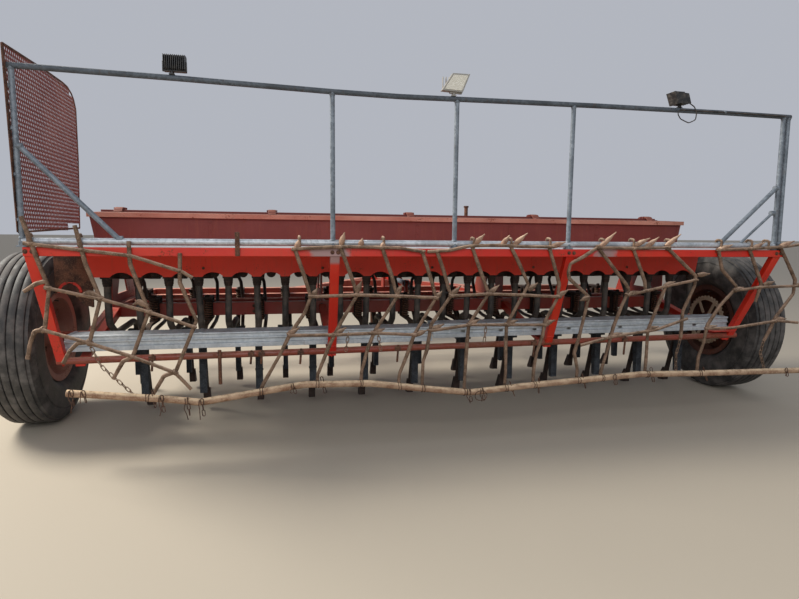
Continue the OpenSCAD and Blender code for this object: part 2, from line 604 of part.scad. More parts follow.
// Harrow hung on the rear: five sections of zig-zag bars laced by level bars.
// [x of the first bar, pitch, bars, slope of the level bars, x shift at each bend, z at each bend,
//  x of the hooks over the rail, tines point: 1 up and right, -1 down and left]
sections = [
    [-2225, 236, 4, -18, [0, 84, 40, -10], [1225, 900, 716, 640], [-2060], -1],
    [-935, 239, 4, 0, [0, 95, -70, -150], [1140, 888, 600, 480], [-935, -696, -457, -218], 1],
    [-130, 226, 4, 0, [0, 100, -5, -30], [1140, 906, 640, 500], [-130, 96, 322, 548], 1],
    [900, 242, 4, 1.5, [0, 120, 60, 20], [1140, 925, 690, 500], [900, 1142, 1384, 1626], 1],
    [1742, 238, 4, 0.5, [0, 135, 10, -40], [1140, 905, 640, 520], [1742, 1980, 2456], 1]];
hang_y = walk_y - bar_d / 2 - seat;
// Offset of a tine's tip at each level, pointing up and right, and down and left
tine_up = [[100, -20, 56], [34, -64, 50], [74, -46, 12]];
tine_down = [[-96, -16, -30], [-92, -30, -46], [-70, -40, -120]];
function level_drop(c, x) = tan(c[3]) * (x - c[0]);
module zig_section(c) {
    shift = c[4];
    level = c[5];
    for (k = [0:c[2] - 1]) {
        x = c[0] + k * c[1];
        d = level_drop(c, x);
        p = [for (i = [0:3]) [x + shift[i], hang_y - 6 * i, level[i] + d]];
        end_x = p[3][0] - 10;
        rod(concat(p, [[end_x, drag_y + hold_gap, drag_z(end_x) + 50],
                       [end_x, drag_y + hold_gap, drag_z(end_x) - 10]]), bar_d, 5);
        for (i = [0:2]) hull() {
            t = c[7] > 0 ? tine_up[i] : tine_down[i];
            translate(p[i]) cube([14, 14, 20], center = true);
            translate(p[i] + t) cube([6, 5, 8], center = true);
        }
    }
    for (i = [0:2]) {
        a = c[0] + shift[i] - 30;
        b = a + (c[2] - 1) * c[1] + 60;
        y = hang_y - 6 * i - 4;
        rod([[a, y, level[i] + level_drop(c, a)], [b, y, level[i] + level_drop(c, b)]], bar_d, 5);
    }
    top = rail_base + rail_foot_d + bar_d / 2 + seat;
    for (x = c[6]) rod([[x, rail_y + 6, top], [x, hang_y, top - 4], [x, hang_y, level[0] + level_drop(c, x) - 10]], bar_d, 5);
}
module harrow_1() put() color(RUST) zig_section(sections[0]);
module harrow_2() put() color(RUST) zig_section(sections[1]);
module harrow_3() put() color(RUST) zig_section(sections[2]);
module harrow_4() put() color(RUST) zig_section(sections[3]);
module harrow_5() put() color(RUST) zig_section(sections[4]);

// Drag bar: the bent pipe along the bottom of the harrow, [x, z]
drag_path = [[-2095, 372], [-1590, 318], [-1440, 296], [-1070, 342], [-880, 366], [-515, 356],
             [-220, 312], [85, 272], [465, 296], [1220, 334], [1660, 320], [2440, 308], [2600, 306]];
drag_y = -860;
// the bars have five sides and the drag bar ten, so they meet at sin(72) of their radii
hold_gap = sin(72) * (drag_d + bar_d) / 2 + seat;
function drag_z(x) = lookup(x, drag_path);
module drag_bar() put() color(RUST) rod([for (q = drag_path) [q[0], drag_y, q[1]]], drag_d, 10);

main_frame();
drawbar();
box_stands();
hopper();
ridge_strip();
lid_rear();
lid_front();
meter_cover();
seed_meters();
fertiliser_meters();
feed_shafts();
seed_tubes();
fertiliser_tubes();
tines_rear();
tines_front();
rockshaft();
tyre_left();
rim_left();
tyre_right();
rim_right();
lift_barrel();
lift_rod();
jack_sleeve();
jack_leg();
rear_gantry();
walkway();
foot_board();
guard_rail();
end_guard();
lamp_left();
lamp_middle();
lamp_right();
wheel_guard();
pipe_stub();
harrow_1();
harrow_2();
harrow_3();
harrow_4();
harrow_5();
drag_bar();
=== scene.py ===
"""Trailed combine seed drill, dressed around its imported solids.

X runs across the machine, +Y forward to the hitch, +Z up. Shapes are given in millimetres from
the wheel axle, and put() and mm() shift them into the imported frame, which is in metres.
"""

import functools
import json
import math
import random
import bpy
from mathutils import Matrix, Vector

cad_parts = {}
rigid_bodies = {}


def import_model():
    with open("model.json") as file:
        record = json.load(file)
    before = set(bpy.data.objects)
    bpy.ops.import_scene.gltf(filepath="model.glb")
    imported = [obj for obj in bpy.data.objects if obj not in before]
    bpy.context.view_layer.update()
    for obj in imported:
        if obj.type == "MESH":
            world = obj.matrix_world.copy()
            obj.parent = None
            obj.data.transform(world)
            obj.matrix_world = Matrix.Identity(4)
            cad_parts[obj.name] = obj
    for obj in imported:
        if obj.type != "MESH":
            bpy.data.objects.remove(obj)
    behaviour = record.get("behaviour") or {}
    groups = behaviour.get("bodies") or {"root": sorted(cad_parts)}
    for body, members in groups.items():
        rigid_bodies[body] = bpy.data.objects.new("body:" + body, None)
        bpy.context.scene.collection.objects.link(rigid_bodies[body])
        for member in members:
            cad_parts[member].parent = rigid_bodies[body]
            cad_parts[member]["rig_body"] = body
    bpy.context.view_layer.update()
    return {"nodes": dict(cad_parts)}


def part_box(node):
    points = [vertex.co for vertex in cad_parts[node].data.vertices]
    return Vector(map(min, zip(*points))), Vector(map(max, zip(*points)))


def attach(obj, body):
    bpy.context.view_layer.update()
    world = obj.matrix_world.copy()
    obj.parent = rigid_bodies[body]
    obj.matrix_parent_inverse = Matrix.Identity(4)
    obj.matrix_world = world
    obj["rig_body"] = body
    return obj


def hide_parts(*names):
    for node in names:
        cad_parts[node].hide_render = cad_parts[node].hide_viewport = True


bl_info = {
    "name": "Combine Seed Drill",
    "version": (1, 0, 0),
    "blender": (4, 5, 0),
    "location": "3D View > Sidebar > Seed Drill",
    "description": "Builds the looks of a trailed combine seed drill around its packed solids",
    "category": "Object",
}

import bmesh
import bpy
from mathutils import Matrix, Vector

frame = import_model()
_lo, _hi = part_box("tyre_left")
AXLE_Y = (_lo.y + _hi.y) / 2


# ---------------------------------------------------------------- values

class DrillSizes(bpy.types.PropertyGroup):
    rows: bpy.props.IntProperty(name="Rows", description="Number of sown rows", default=24, min=12, max=26)
    row_pitch: bpy.props.FloatProperty(
        name="Row pitch", description="Distance from row to row", default=0.178, unit="LENGTH")
    edge: bpy.props.FloatProperty(
        name="Edge radius", description="Rounding of folded and rolled edges", default=0.0018, unit="LENGTH")


class DrillColours(bpy.types.PropertyGroup):
    red: bpy.props.StringProperty(name="Red enamel", description="Fresh red paint, sRGB hex", default="#BE1E0B")
    maroon: bpy.props.StringProperty(
        name="Faded enamel", description="Chalked paint of the box, sRGB hex", default="#73322B")
    # the foot pipe's galvanising, lighter than the other zinc: painted highlights
    zinc: bpy.props.StringProperty(name="Zinc", description="Weathered galvanising, sRGB hex", default="#A4A9AE")


def sizes():
    return bpy.context.scene.drill_sizes


def colours():
    return bpy.context.scene.drill_colours


def put(x, y, z):
    """A place given from the wheel axle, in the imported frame."""
    return Vector((x, y + AXLE_Y, z))


def mm(x, y, z):
    """A place in millimetres from the wheel axle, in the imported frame."""
    return put(x / 1000, y / 1000, z / 1000)


def row_mm(i):
    """Middle of row i, in millimetres."""
    s = sizes()
    return (i - (s.rows - 1) / 2) * s.row_pitch * 1000


def body(node):
    return frame["nodes"][node]["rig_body"]


# Places that several pieces share, in millimetres from the wheel axle
ROW_HALF = 2047
WALK_Y, WALK_Z = -800, 1125
RAIL_Y, RAIL_Z, RAIL_FOOT = -779, 1977, 1143
LOW_Y = -510
TUBE_Y = -200
REAR_BEAM, FRONT_BEAM = 280, 860
FRAME_Z, BEAM_H, BEAM_T = 620, 90, 75
BEAM_TOP = FRAME_Z + BEAM_H
BOOT_BACK = 400
HANG_Y = -808.8
DRAG_Y = -834
SEAMS = (-1480, -740, 0, 740, 1480)
# columns: x, z above RAIL_Z
SAG = [(-2286, 19), (-1500, 6), (-730, -12), (-350, -16), (240, -7), (870, 1), (1700, 7), (2236, 6)]
# columns: x of the foot, x of the head
POSTS = [(-2262, -2262), (-721, -721), (-18, -18), (703, 703), (2189, 2186), (2228, 2222)]
# columns: x of the head, x of the foot, top of the plank on its shelf
STRUTS = [(-2230, -2210, 620), (-710, -706, 620), (718, 731, 638), (2215, 2142, 638)]
# columns: side, both ends, top, x of the holes stamped in the rear face
PLANKS = [("left", -2205, -60, 620, ()), ("right", -56, 2150, 638, (150, 410, 650, 900, 1290, 1660, 1880))]
LOW_ENDS = [(-2238, 482), (2198, 508)]
DRAG_PATH = [(-2085, 383), (-1590, 325), (-1440, 301), (-1075, 349), (-885, 373), (-520, 362), (-225, 319),
             (80, 279), (465, 304), (1215, 340), (1655, 327), (2430, 315), (2600, 312)]
# rear edge of the end guard upwards from its foot, as (y, z)
GUARD_X = -2279
GUARD_OUTLINE = [(-777, 1198), (100, 1228), (143, 1665), (148, 1980), (120, 2035), (83, 2066), (20, 2090),
                 (-57, 2097), (-306, 2098), (-813, 2086)]

# Harrow sections: upright bars by their bends as (x, z), whether each runs down to the drag bar, level bars,
# leaves from root to tip, chains, and the hooks over the foot pipe by their x. Chosen bend by bend from the photo.
HARROW = {
    "harrow_1": dict(
        bars=[
            [(-2250, 1276), (-2195, 1082), (-2145, 915), (-2176, 712), (-2222, 703), (-2248, 638), (-2262, 562)],
            [(-2012, 1235), (-1972, 1042), (-1911, 865), (-1972, 640), (-2030, 636), (-2069, 596), (-2100, 535)],
            [(-1765, 1158), (-1763, 1042), (-1682, 793), (-1770, 557), (-1818, 534), (-1870, 441)],
            [(-1520, 1098), (-1525, 942), (-1448, 740), (-1562, 467), (-1622, 446), (-1696, 320)],
            [(-2153, 958), (-2203, 943), (-2259, 904)]],
        on_drag_bar=[0, 0, 0, 1, 0],
        level_bars=[
            [(-2244, 1145), (-1987, 1112), (-1756, 1082), (-1509, 1000), (-1460, 968)],
            [(-2164, 925), (-1911, 865), (-1682, 793), (-1448, 703)],
            [(-2190, 712), (-1974, 639), (-1769, 559), (-1562, 465), (-1484, 369)]],
        leaves=[
            [(-1907, 869), (-1961, 895), (-2022, 876)], [(-1686, 819), (-1728, 846), (-1762, 826)]],
        chains=[
            [(-1972, 625), (-1924, 512), (-1782, 362)]],
        hooks=[-2226, -1999]),
    "harrow_2": dict(
        bars=[
            [(-930, 1120), (-883, 980), (-847, 860), (-880, 772), (-962, 652), (-1017, 542), (-1116, 368)],
            [(-682, 1130), (-632, 996), (-588, 867), (-688, 701), (-744, 589), (-812, 421)],
            [(-448, 1128), (-395, 978), (-360, 853), (-491, 656), (-530, 554), (-564, 428)],
            [(-215, 1107), (-162, 948), (-131, 844), (-258, 632), (-287, 545), (-344, 401)]],
        on_drag_bar=[1, 1, 1, 1],
        level_bars=[
            [(-945, 1122), (-687, 1133), (-565, 1134), (-351, 1129), (-206, 1107)],
            [(-860, 862), (-588, 868), (-360, 856), (-125, 842)],
            [(-975, 650), (-716, 645), (-491, 648), (-250, 630)]],
        leaves=[
            [(-924, 1116), (-902, 1180)], [(-681, 1144), (-659, 1215)], [(-571, 1139), (-560, 1183)],
            [(-448, 1123), (-437, 1170)], [(-836, 859), (-808, 909)], [(-593, 878), (-565, 945)],
            [(-366, 864), (-332, 921)], [(-131, 842), (-96, 882)], [(-975, 650), (-908, 690)],
            [(-716, 645), (-650, 684)], [(-495, 645), (-430, 672)], [(-250, 630), (-180, 655)]],
        chains=[
            [(-640, 640), (-652, 560)], [(-470, 640), (-455, 560)]],
        hooks=[-905, -668, -440]),
    "harrow_3": dict(
        bars=[
            [(-130, 1112), (-86, 993), (-41, 854), (-158, 688), (-180, 542), (-203, 472)],
            [(80, 1140), (138, 992), (191, 863), (72, 682), (63, 563), (55, 384)],
            [(319, 1142), (372, 1050), (441, 913), (309, 676), (308, 525), (312, 403)],
            [(565, 1140), (640, 920), (635, 835), (555, 685), (545, 600), (510, 500), (495, 400)]],
        on_drag_bar=[1, 1, 1, 1],
        level_bars=[
            [(-188, 1108), (-59, 1119), (61, 1142), (244, 1149), (372, 1142), (590, 1138)],
            [(-45, 854), (190, 862), (410, 852), (640, 840)], [(-160, 655), (72, 682), (309, 676), (560, 670)]],
        leaves=[
            [(91, 1148), (156, 1212)], [(263, 1145), (310, 1207)], [(331, 1144), (423, 1220)],
            [(573, 1139), (669, 1169)], [(-41, 854), (18, 912)], [(190, 862), (256, 915)],
            [(441, 880), (500, 925)], [(635, 842), (700, 880)], [(-158, 655), (-79, 690)], [(72, 682), (140, 712)],
            [(309, 676), (380, 704)], [(555, 672), (622, 698)]],
        chains=[
            [(180, 672), (172, 590)]],
        hooks=[90, 322, 570]),
    "harrow_4": dict(
        bars=[
            [(901, 1147), (791, 1080), (708, 1038), (697, 984), (705, 950), (843, 835), (785, 572), (760, 487),
             (787, 385)],
            [(900, 1125), (1093, 910), (1118, 875), (1070, 775), (1020, 640), (985, 490), (950, 365)],
            [(1127, 1140), (1224, 925), (1234, 865)],
            [(1375, 898), (1351, 835), (1266, 621), (1265, 428)],
            [(1365, 1142), (1587, 960), (1585, 896), (1510, 731), (1509, 563)]],
        on_drag_bar=[1, 1, 0, 1, 0],
        level_bars=[
            [(880, 1138), (1130, 1132), (1385, 1138)], [(1105, 845), (1375, 898), (1590, 935)],
            [(795, 535), (1010, 585), (1320, 620), (1540, 685)]],
        leaves=[
            [(889, 1128), (1004, 1232)], [(1133, 1148), (1241, 1197)], [(1216, 1138), (1303, 1204)],
            [(1356, 1148), (1458, 1224)], [(1600, 965), (1690, 974)], [(843, 835), (780, 812)],
            [(1105, 845), (1180, 868)], [(1010, 585), (1085, 606)], [(1266, 621), (1340, 640)],
            [(1365, 898), (1440, 925)]],
        chains=[
            [(1509, 560), (1482, 450), (1490, 335)]],
        hooks=[925, 1130, 1384]),
    "harrow_5": dict(
        bars=[
            [(1742, 1130), (1780, 1000), (1905, 885), (1785, 765), (1700, 637), (1680, 515), (1650, 430)],
            [(1975, 1135), (2090, 905), (2055, 786)],
            [(2215, 1148), (2356, 929), (2350, 835), (2223, 677), (2190, 600), (2146, 520)]],
        on_drag_bar=[1, 0, 0],
        level_bars=[
            [(1725, 1128), (1980, 1135), (2260, 1150), (2390, 1168)], [(1880, 862), (2070, 882), (2368, 889)],
            [(1700, 618), (1886, 618), (2233, 656), (2396, 639)]],
        leaves=[
            [(1736, 1125), (1845, 1160)], [(1990, 1130), (2090, 1178)], [(2213, 1153), (2320, 1187)],
            [(2105, 895), (2191, 920)], [(2220, 665), (2310, 668)], [(1880, 862), (1955, 884)],
            [(1700, 618), (1772, 634)], [(2368, 889), (2440, 905)]],
        chains=[
            [(2146, 522), (2128, 440), (2165, 340)]],
        hooks=[1760, 1990, 2120]),
}

def lookup(x, table):
    """Value at x along a table of (x, value), level past its ends."""
    if x <= table[0][0]:
        return table[0][1]
    for a, b in zip(table, table[1:]):
        if x <= b[0]:
            return a[1] + (b[1] - a[1]) * (x - a[0]) / (b[0] - a[0])
    return table[-1][1]


def inside(y, z, outline):
    """Whether a point lies within a closed outline."""
    hit = False
    for (y0, z0), (y1, z1) in zip(outline, outline[1:] + outline[:1]):
        if (z0 > z) != (z1 > z) and y < (y1 - y0) * (z - z0) / (z1 - z0) + y0:
            hit = not hit
    return hit


def crossing(a, b, c, d):
    """How far along a-b and along c-d the two lines cross, or None where they are parallel."""
    ab, cd, ac = [(q[0] - p[0], q[1] - p[1]) for p, q in ((a, b), (c, d), (a, c))]
    area = ab[0] * cd[1] - ab[1] * cd[0]
    if abs(area) < 1e-6:
        return None
    return (ac[0] * cd[1] - ac[1] * cd[0]) / area, (ac[0] * ab[1] - ac[1] * ab[0]) / area


def around(r, n, start=0.0):
    """n points round a circle of radius r."""
    turns = [2 * math.pi * (k + start) / n for k in range(n)]
    return [(r * math.cos(a), r * math.sin(a)) for a in turns]


# ---------------------------------------------------------------- materials

def lin(hex_text, a=1.0):
    """sRGB hex to linear RGBA."""
    c = [int(hex_text[i:i + 2], 16) / 255 for i in (1, 3, 5)]
    return tuple(v / 12.92 if v <= 0.04045 else ((v + 0.055) / 1.055) ** 2.4 for v in c) + (a,)


def add(tree, kind, values=None, **links):
    """Adds one node, sets its properties and socket values, and links its inputs.

    values: {property or input name: value}. A link's key is the input's name with _ for spaces,
    or i0, i1 ... for an input by its number. A link's value is a socket or a node (its first output)."""
    n = tree.nodes.new(kind)
    for key, v in (values or {}).items():
        if isinstance(key, int) or key in n.inputs:
            n.inputs[key].default_value = v
        else:
            setattr(n, key, v)
    for key, src in links.items():
        by_number = key[0] == "i" and key[1:].isdigit()
        sock = n.inputs[int(key[1:])] if by_number else n.inputs[key.replace("_", " ")]
        tree.links.new(src.outputs[0] if hasattr(src, "outputs") else src, sock)
    return n


def start_material(name):
    m = bpy.data.materials.new(name)
    m.use_nodes = True
    t = m.node_tree
    t.nodes.clear()
    out = t.nodes.new("ShaderNodeOutputMaterial")
    bsdf = t.nodes.new("ShaderNodeBsdfPrincipled")
    t.links.new(bsdf.outputs[0], out.inputs[0])
    co = t.nodes.new("ShaderNodeTexCoord").outputs["Object"]
    return m, t, bsdf, co


def noise_at(t, co, size_mm, detail=4.0, rough=0.55, stretch=(1, 1, 1), shift=0.0):
    """Noise whose cells are about size_mm across; stretch lengthens the cells per axis."""
    if stretch != (1, 1, 1) or shift:
        scale = tuple(1 / k for k in stretch)
        co = add(t, "ShaderNodeMapping", {"Scale": scale, "Location": (shift, shift, shift)}, Vector=co)
    values = {"Scale": 1000.0 / size_mm, "Detail": detail, "Roughness": rough}
    return add(t, "ShaderNodeTexNoise", values, Vector=co).outputs["Fac"]


def ramp(t, fac, lo, hi, a=0.0, b=1.0):
    values = {"From Min": lo, "From Max": hi, "To Min": a, "To Max": b, "interpolation_type": "SMOOTHSTEP"}
    return add(t, "ShaderNodeMapRange", values, Value=fac).outputs[0]


def mix(t, fac, a, b):
    """Mixes two colours; each is a hex text or a socket."""
    n = t.nodes.new("ShaderNodeMix")
    n.data_type = "RGBA"
    for sock, v in ((n.inputs[6], a), (n.inputs[7], b)):
        if isinstance(v, str):
            sock.default_value = lin(v)
        else:
            t.links.new(v, sock)
    t.links.new(fac, n.inputs[0])
    return n.outputs[2]


def maths(t, op, a, b=0.0):
    n = t.nodes.new("ShaderNodeMath")
    n.operation = op
    for i, v in enumerate((a, b)):
        if isinstance(v, (int, float)):
            n.inputs[i].default_value = v
        else:
            t.links.new(v, n.inputs[i])
    return n.outputs[0]


def times(t, a, b):
    return maths(t, "MULTIPLY", a, b)


def plus(t, a, b):
    return maths(t, "ADD", a, b)


def facing_up(t, lo=0.55, hi=0.95):
    """1 where a face looks up, where dust gathers and where sunlit tops are painted lighter."""
    normal = t.nodes.new("ShaderNodeNewGeometry").outputs["Normal"]
    z = add(t, "ShaderNodeSeparateXYZ", Vector=normal).outputs["Z"]
    return ramp(t, z, lo, hi)


def add_bump(t, bsdf, height, distance):
    b = add(t, "ShaderNodeBump", {"Distance": distance, "Strength": 1.0}, Height=height)
    t.links.new(b.outputs[0], bsdf.inputs["Normal"])


def zinc_spray(t, co, x, half, low):
    """1 on a sprayed patch with feathered edges: its middle in x, half its length and its lowest z, in metres."""
    at = add(t, "ShaderNodeSeparateXYZ", Vector=co)
    off = maths(t, "ABSOLUTE", maths(t, "SUBTRACT", at.outputs["X"], x))
    off = plus(t, off, times(t, noise_at(t, co, 45, 4, 0.6, shift=8.8), 0.10))
    return times(t, ramp(t, off, half + 0.02, half + 0.07, 1, 0), ramp(t, at.outputs["Z"], low - 0.012, low + 0.012))


def worn_enamel(name, fresh, chalked, chip=0.60, dust="#B79C86", dust_amount=0.5, gloss=0.42, streak=0.35, sprayed=()):
    """Red implement enamel on steel: chalked by the sun in wide patches, chipped to brown rust, dusty on top; on the
    frame the pale pink of the upper faces also stands for painted sunlit tops.
    """
    rust_dark, rust_light, spray_grey = "#5A2F1E", "#8A4A2B", "#8C8583"
    m, t, bsdf, co = start_material(name)
    col = mix(t, ramp(t, noise_at(t, co, 420, 5, 0.6), 0.38, 0.66), fresh, chalked)
    # rain streaks run down the sheets, 15 mm apart and 200 mm long
    run = ramp(t, noise_at(t, co, 15, 3, 0.6, stretch=(1, 1, 14)), 0.52, 0.75)
    col = mix(t, times(t, run, streak), col, rust_light)
    # chips about 6 mm across gather where a wider noise says the paint has let go
    fine = noise_at(t, co, 9, 8, 0.68)
    let_go = ramp(t, noise_at(t, co, 130, 4, 0.6, shift=3.1), 0.35, 0.75, -0.10, 0.12)
    chips = ramp(t, plus(t, fine, let_go), chip, chip + 0.035)
    col = mix(t, chips, col, mix(t, noise_at(t, co, 14, 6, 0.7, shift=1.7), rust_dark, rust_light))
    # upper faces take the dust colour in patches: real dust, and on the frame also painted sunlit tops
    up = times(t, facing_up(t), ramp(t, noise_at(t, co, 60, 6, 0.7, shift=5.3), 0.30, 0.62))
    col = mix(t, times(t, up, dust_amount), col, dust)
    for patch in sprayed:
        col = mix(t, times(t, zinc_spray(t, co, *patch), 0.8), col, spray_grey)
    t.links.new(col, bsdf.inputs["Base Color"])
    t.links.new(ramp(t, maths(t, "MAXIMUM", chips, up), 0, 1, gloss, 0.85), bsdf.inputs["Roughness"])
    dents = times(t, noise_at(t, co, 60, 3, 0.5, shift=2.2), 0.5)
    h = maths(t, "SUBTRACT", dents, times(t, chips, 0.16))
    add_bump(t, bsdf, plus(t, h, times(t, fine, 0.10)), 0.0035)
    return m


def rusty_steel(name, dark="#3A241B", mid="#6A4431", light="#A07A5C", dust="#B59A80", dust_amount=0.4, pit=0.0022):
    """Bare mild steel left outside: brown rust in two tones, pitted, pale dust on its upper side."""
    m, t, bsdf, co = start_material(name)
    blotch = noise_at(t, co, 55, 7, 0.66)
    grain = noise_at(t, co, 7, 6, 0.7, shift=4.0)
    col = mix(t, ramp(t, blotch, 0.36, 0.64), dark, mid)
    col = mix(t, times(t, ramp(t, grain, 0.5, 0.72), 0.7), col, light)
    up = times(t, facing_up(t, 0.2, 0.9), ramp(t, noise_at(t, co, 40, 6, 0.7, shift=7.0), 0.28, 0.6))
    col = mix(t, times(t, up, dust_amount), col, dust)
    t.links.new(col, bsdf.inputs["Base Color"])
    bsdf.inputs["Roughness"].default_value = 0.82
    bsdf.inputs["Metallic"].default_value = 0.15
    add_bump(t, bsdf, plus(t, grain, times(t, blotch, 0.6)), pit)
    return m


def galvanised(name, base, light, dull, stain="#8A7460", stain_amount=0.25, rough=0.42, metal=0.6):
    """Hot-dip galvanised steel: zinc crystals 10-20 mm across, dulled grey, a few rusty stains."""
    spangle_mm = 14
    m, t, bsdf, co = start_material(name)
    v = add(t, "ShaderNodeTexVoronoi", {"Scale": 1000.0 / spangle_mm, "Randomness": 1.0}, Vector=co)
    tone = add(t, "ShaderNodeSeparateColor", Color=v.outputs["Color"]).outputs[0]
    col = mix(t, tone, base, light)
    col = mix(t, ramp(t, noise_at(t, co, 160, 5, 0.6), 0.42, 0.7, 0, 0.75), col, dull)
    stains = ramp(t, noise_at(t, co, 30, 7, 0.7, stretch=(1, 1, 2.5), shift=2.0), 0.55, 0.72)
    col = mix(t, times(t, stains, stain_amount), col, stain)
    t.links.new(col, bsdf.inputs["Base Color"])
    bsdf.inputs["Metallic"].default_value = metal
    t.links.new(plus(t, times(t, tone, 0.12), plus(t, times(t, stains, 0.25), rough - 0.05)), bsdf.inputs["Roughness"])
    add_bump(t, bsdf, plus(t, noise_at(t, co, 25, 4, 0.6), times(t, tone, 0.25)), 0.0012)
    return m


def moulded_rubber(name, base, dusty, dust_amount, rough=0.72, size_mm=90):
    """Vulcanised rubber: near black, greyed by field dust that lies in wide soft patches."""
    m, t, bsdf, co = start_material(name)
    dusted = ramp(t, noise_at(t, co, size_mm, 7, 0.66), 0.36, 0.68)
    grain = noise_at(t, co, 6, 5, 0.6, shift=3.0)
    col = mix(t, times(t, dusted, dust_amount), base, dusty)
    col = mix(t, ramp(t, grain, 0.55, 0.8, 0, 0.25), col, dusty)
    t.links.new(col, bsdf.inputs["Base Color"])
    t.links.new(ramp(t, dusted, 0, 1, rough - 0.1, 0.92), bsdf.inputs["Roughness"])
    add_bump(t, bsdf, grain, 0.0008)
    return m


def plain_plastic(name, base, rough=0.5, dust_amount=0.3):
    """Moulded or die-cast lamp housing with a thin film of dust."""
    m, t, bsdf, co = start_material(name)
    dusted = ramp(t, noise_at(t, co, 25, 6, 0.65), 0.4, 0.75)
    t.links.new(mix(t, times(t, dusted, dust_amount), base, "#8A8175"), bsdf.inputs["Base Color"])
    t.links.new(ramp(t, dusted, 0, 1, rough, rough + 0.25), bsdf.inputs["Roughness"])
    add_bump(t, bsdf, noise_at(t, co, 1.5, 2, 0.5), 0.0002)
    return m


@functools.cache
def finishes():
    """Makes every finish once, from the colours in the panel."""
    c = colours()
    red_dust = dict(dust="#C98A76", dust_amount=0.45)
    return dict(
        # painted sheet and sections
        red=worn_enamel("red_enamel_on_steel", c.red, "#C62C14", chip=0.66, streak=0.15, **red_dust),
        gantry=worn_enamel("red_enamel_gantry_with_sprayed_zinc", c.red, "#C62C14", chip=0.635, streak=0.2,
                           sprayed=((-0.745, 0.115, 1.04), (0.945, 0.065, 1.07)), **red_dust),
        # a brighter red than the rest of the enamel: painted sunlight on the cover, which lies in the shade of the deck
        panel=worn_enamel("red_enamel_meter_cover_brightened_for_painted_sunlight", "#E63312", "#D8300F", chip=0.675, streak=0.2, dust_amount=0.3),
        # pale pink on the frame's upper faces: partly dust, partly painted sunlit tops
        frame=worn_enamel("faded_enamel_frame_with_painted_sunlit_tops", "#9C3022", "#8A4234", streak=0.3, dust="#D9A48C", dust_amount=0.7),
        low=worn_enamel("rusting_enamel_low_bar", "#8A3A2A", "#7A4636", chip=0.53, streak=0.4, dust="#B08A74"),
        box=worn_enamel("chalked_enamel_grain_box", "#6B2A22", c.maroon, chip=0.66, streak=0.25, gloss=0.62,
                        dust="#8E5A4C"),
        lid=worn_enamel("sun_bleached_enamel_lid", "#683024", "#733C30", chip=0.645, streak=0.2, gloss=0.7,
                        dust="#8E6250"),
        # lighter copy of the lid enamel for the rear lid's lip: painted sunlight along its edge
        lip=worn_enamel("lid_lip_enamel_lightened_for_painted_sunlight", "#B98672", "#A56A57", chip=0.64, streak=0.1, gloss=0.7,
                        dust="#D6B49C"),
        guard=worn_enamel("faded_enamel_expanded_mesh", "#6E2A22", "#7E4238", chip=0.62, streak=0.3, gloss=0.6,
                          dust="#C9A998", dust_amount=0.6),
        rim=worn_enamel("faded_enamel_wheel_rim", "#9E6C60", "#B08A7C", streak=0.3, gloss=0.7),
        # darker copy of the rim enamel for the right wheel: painted shade on its inner side; its heavier chipping and
        # dust are real wear
        rim_in_painted_shade=worn_enamel("rim_enamel_darkened_for_painted_shade", "#4A2A20", "#5E382C", chip=0.56, streak=0.3, gloss=0.75,
                             dust="#8A6A58"),
        cream=worn_enamel("dusty_enamel_ring_gear", "#B9A58C", "#A8917A", streak=0.3, gloss=0.75, dust="#C9B79C"),
        # bare steel and iron
        rust=rusty_steel("weathered_mild_steel"),
        # lighter copy of the harrow steel for the leaves over the beam: painted sunlight
        leaf=rusty_steel("harrow_steel_lightened_for_painted_sunlight", "#785847", "#A6846C", "#C8A88E", "#DCC0A4", 0.85, 0.002),
        harrow=rusty_steel("forged_harrow_steel", "#54402F", "#846A56", "#B49A82", "#CDB096", 0.75, 0.003),
        drag=rusty_steel("rusted_pipe_flaking", "#86644C", "#B2957A", "#D2B898", "#E6CDA8", 0.85, 0.004),
        cast=rusty_steel("greased_grey_iron", "#1F1815", "#3A2C26", "#6B4F40", "#8A7462", 0.35, 0.0018),
        boot=rusty_steel("soil_polished_boot_steel", "#22252A", "#3B4046", "#666B6F", "#7A7468", 0.35, 0.0012),
        wire=rusty_steel("rusty_tie_wire", "#33211A", "#5A3D2E", "#8A6A50", "#A08468", 0.4, 0.001),
        # zinc
        zinc=galvanised("hot_dip_galvanised_pipe", "#646C74", "#828A92", "#535A61", metal=0.3, rough=0.55),
        # darker copy of the galvanising for the top rail: painted shade; its rusty stains are real
        pipe=galvanised("galvanised_rail_darkened_for_painted_shade", "#41474D", "#585F66", "#363B40", stain="#5E4A3A",
                        stain_amount=0.5, metal=0.2, rough=0.6),
        # lighter copy of the galvanising for the foot pipe: painted highlights
        foot=galvanised("galvanised_foot_pipe_lightened_for_painted_highlights", c.zinc, "#C3C8CD", "#878D93", metal=0.4),
        plank=galvanised("roll_formed_galvanised_plank", "#AEB5BA", "#C4C9CC", "#959B9F", stain_amount=0.3,
                         metal=0.45, rough=0.5),
        # rubber and lamps
        tyre=moulded_rubber("vulcanised_tyre_rubber", "#292827", "#6C6763", 0.75),
        hose=moulded_rubber("extruded_hose_rubber", "#25221F", "#6A5F56", 0.7, 0.62, 60),
        lamp=plain_plastic("die_cast_lamp_black", "#17181A", 0.45),
        lamp_grey=plain_plastic("die_cast_lamp_grey", "#8E8B84"),
        lens=plain_plastic("floodlight_glass", "#C9C4B4", 0.12, 0.2),
    )


# ---------------------------------------------------------------- shapes

def to_object(name, mesh, body, material):
    o = bpy.data.objects.new(name, mesh)
    bpy.context.scene.collection.objects.link(o)
    mesh.materials.clear()
    mesh.materials.append(material)
    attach(o, body)
    return o


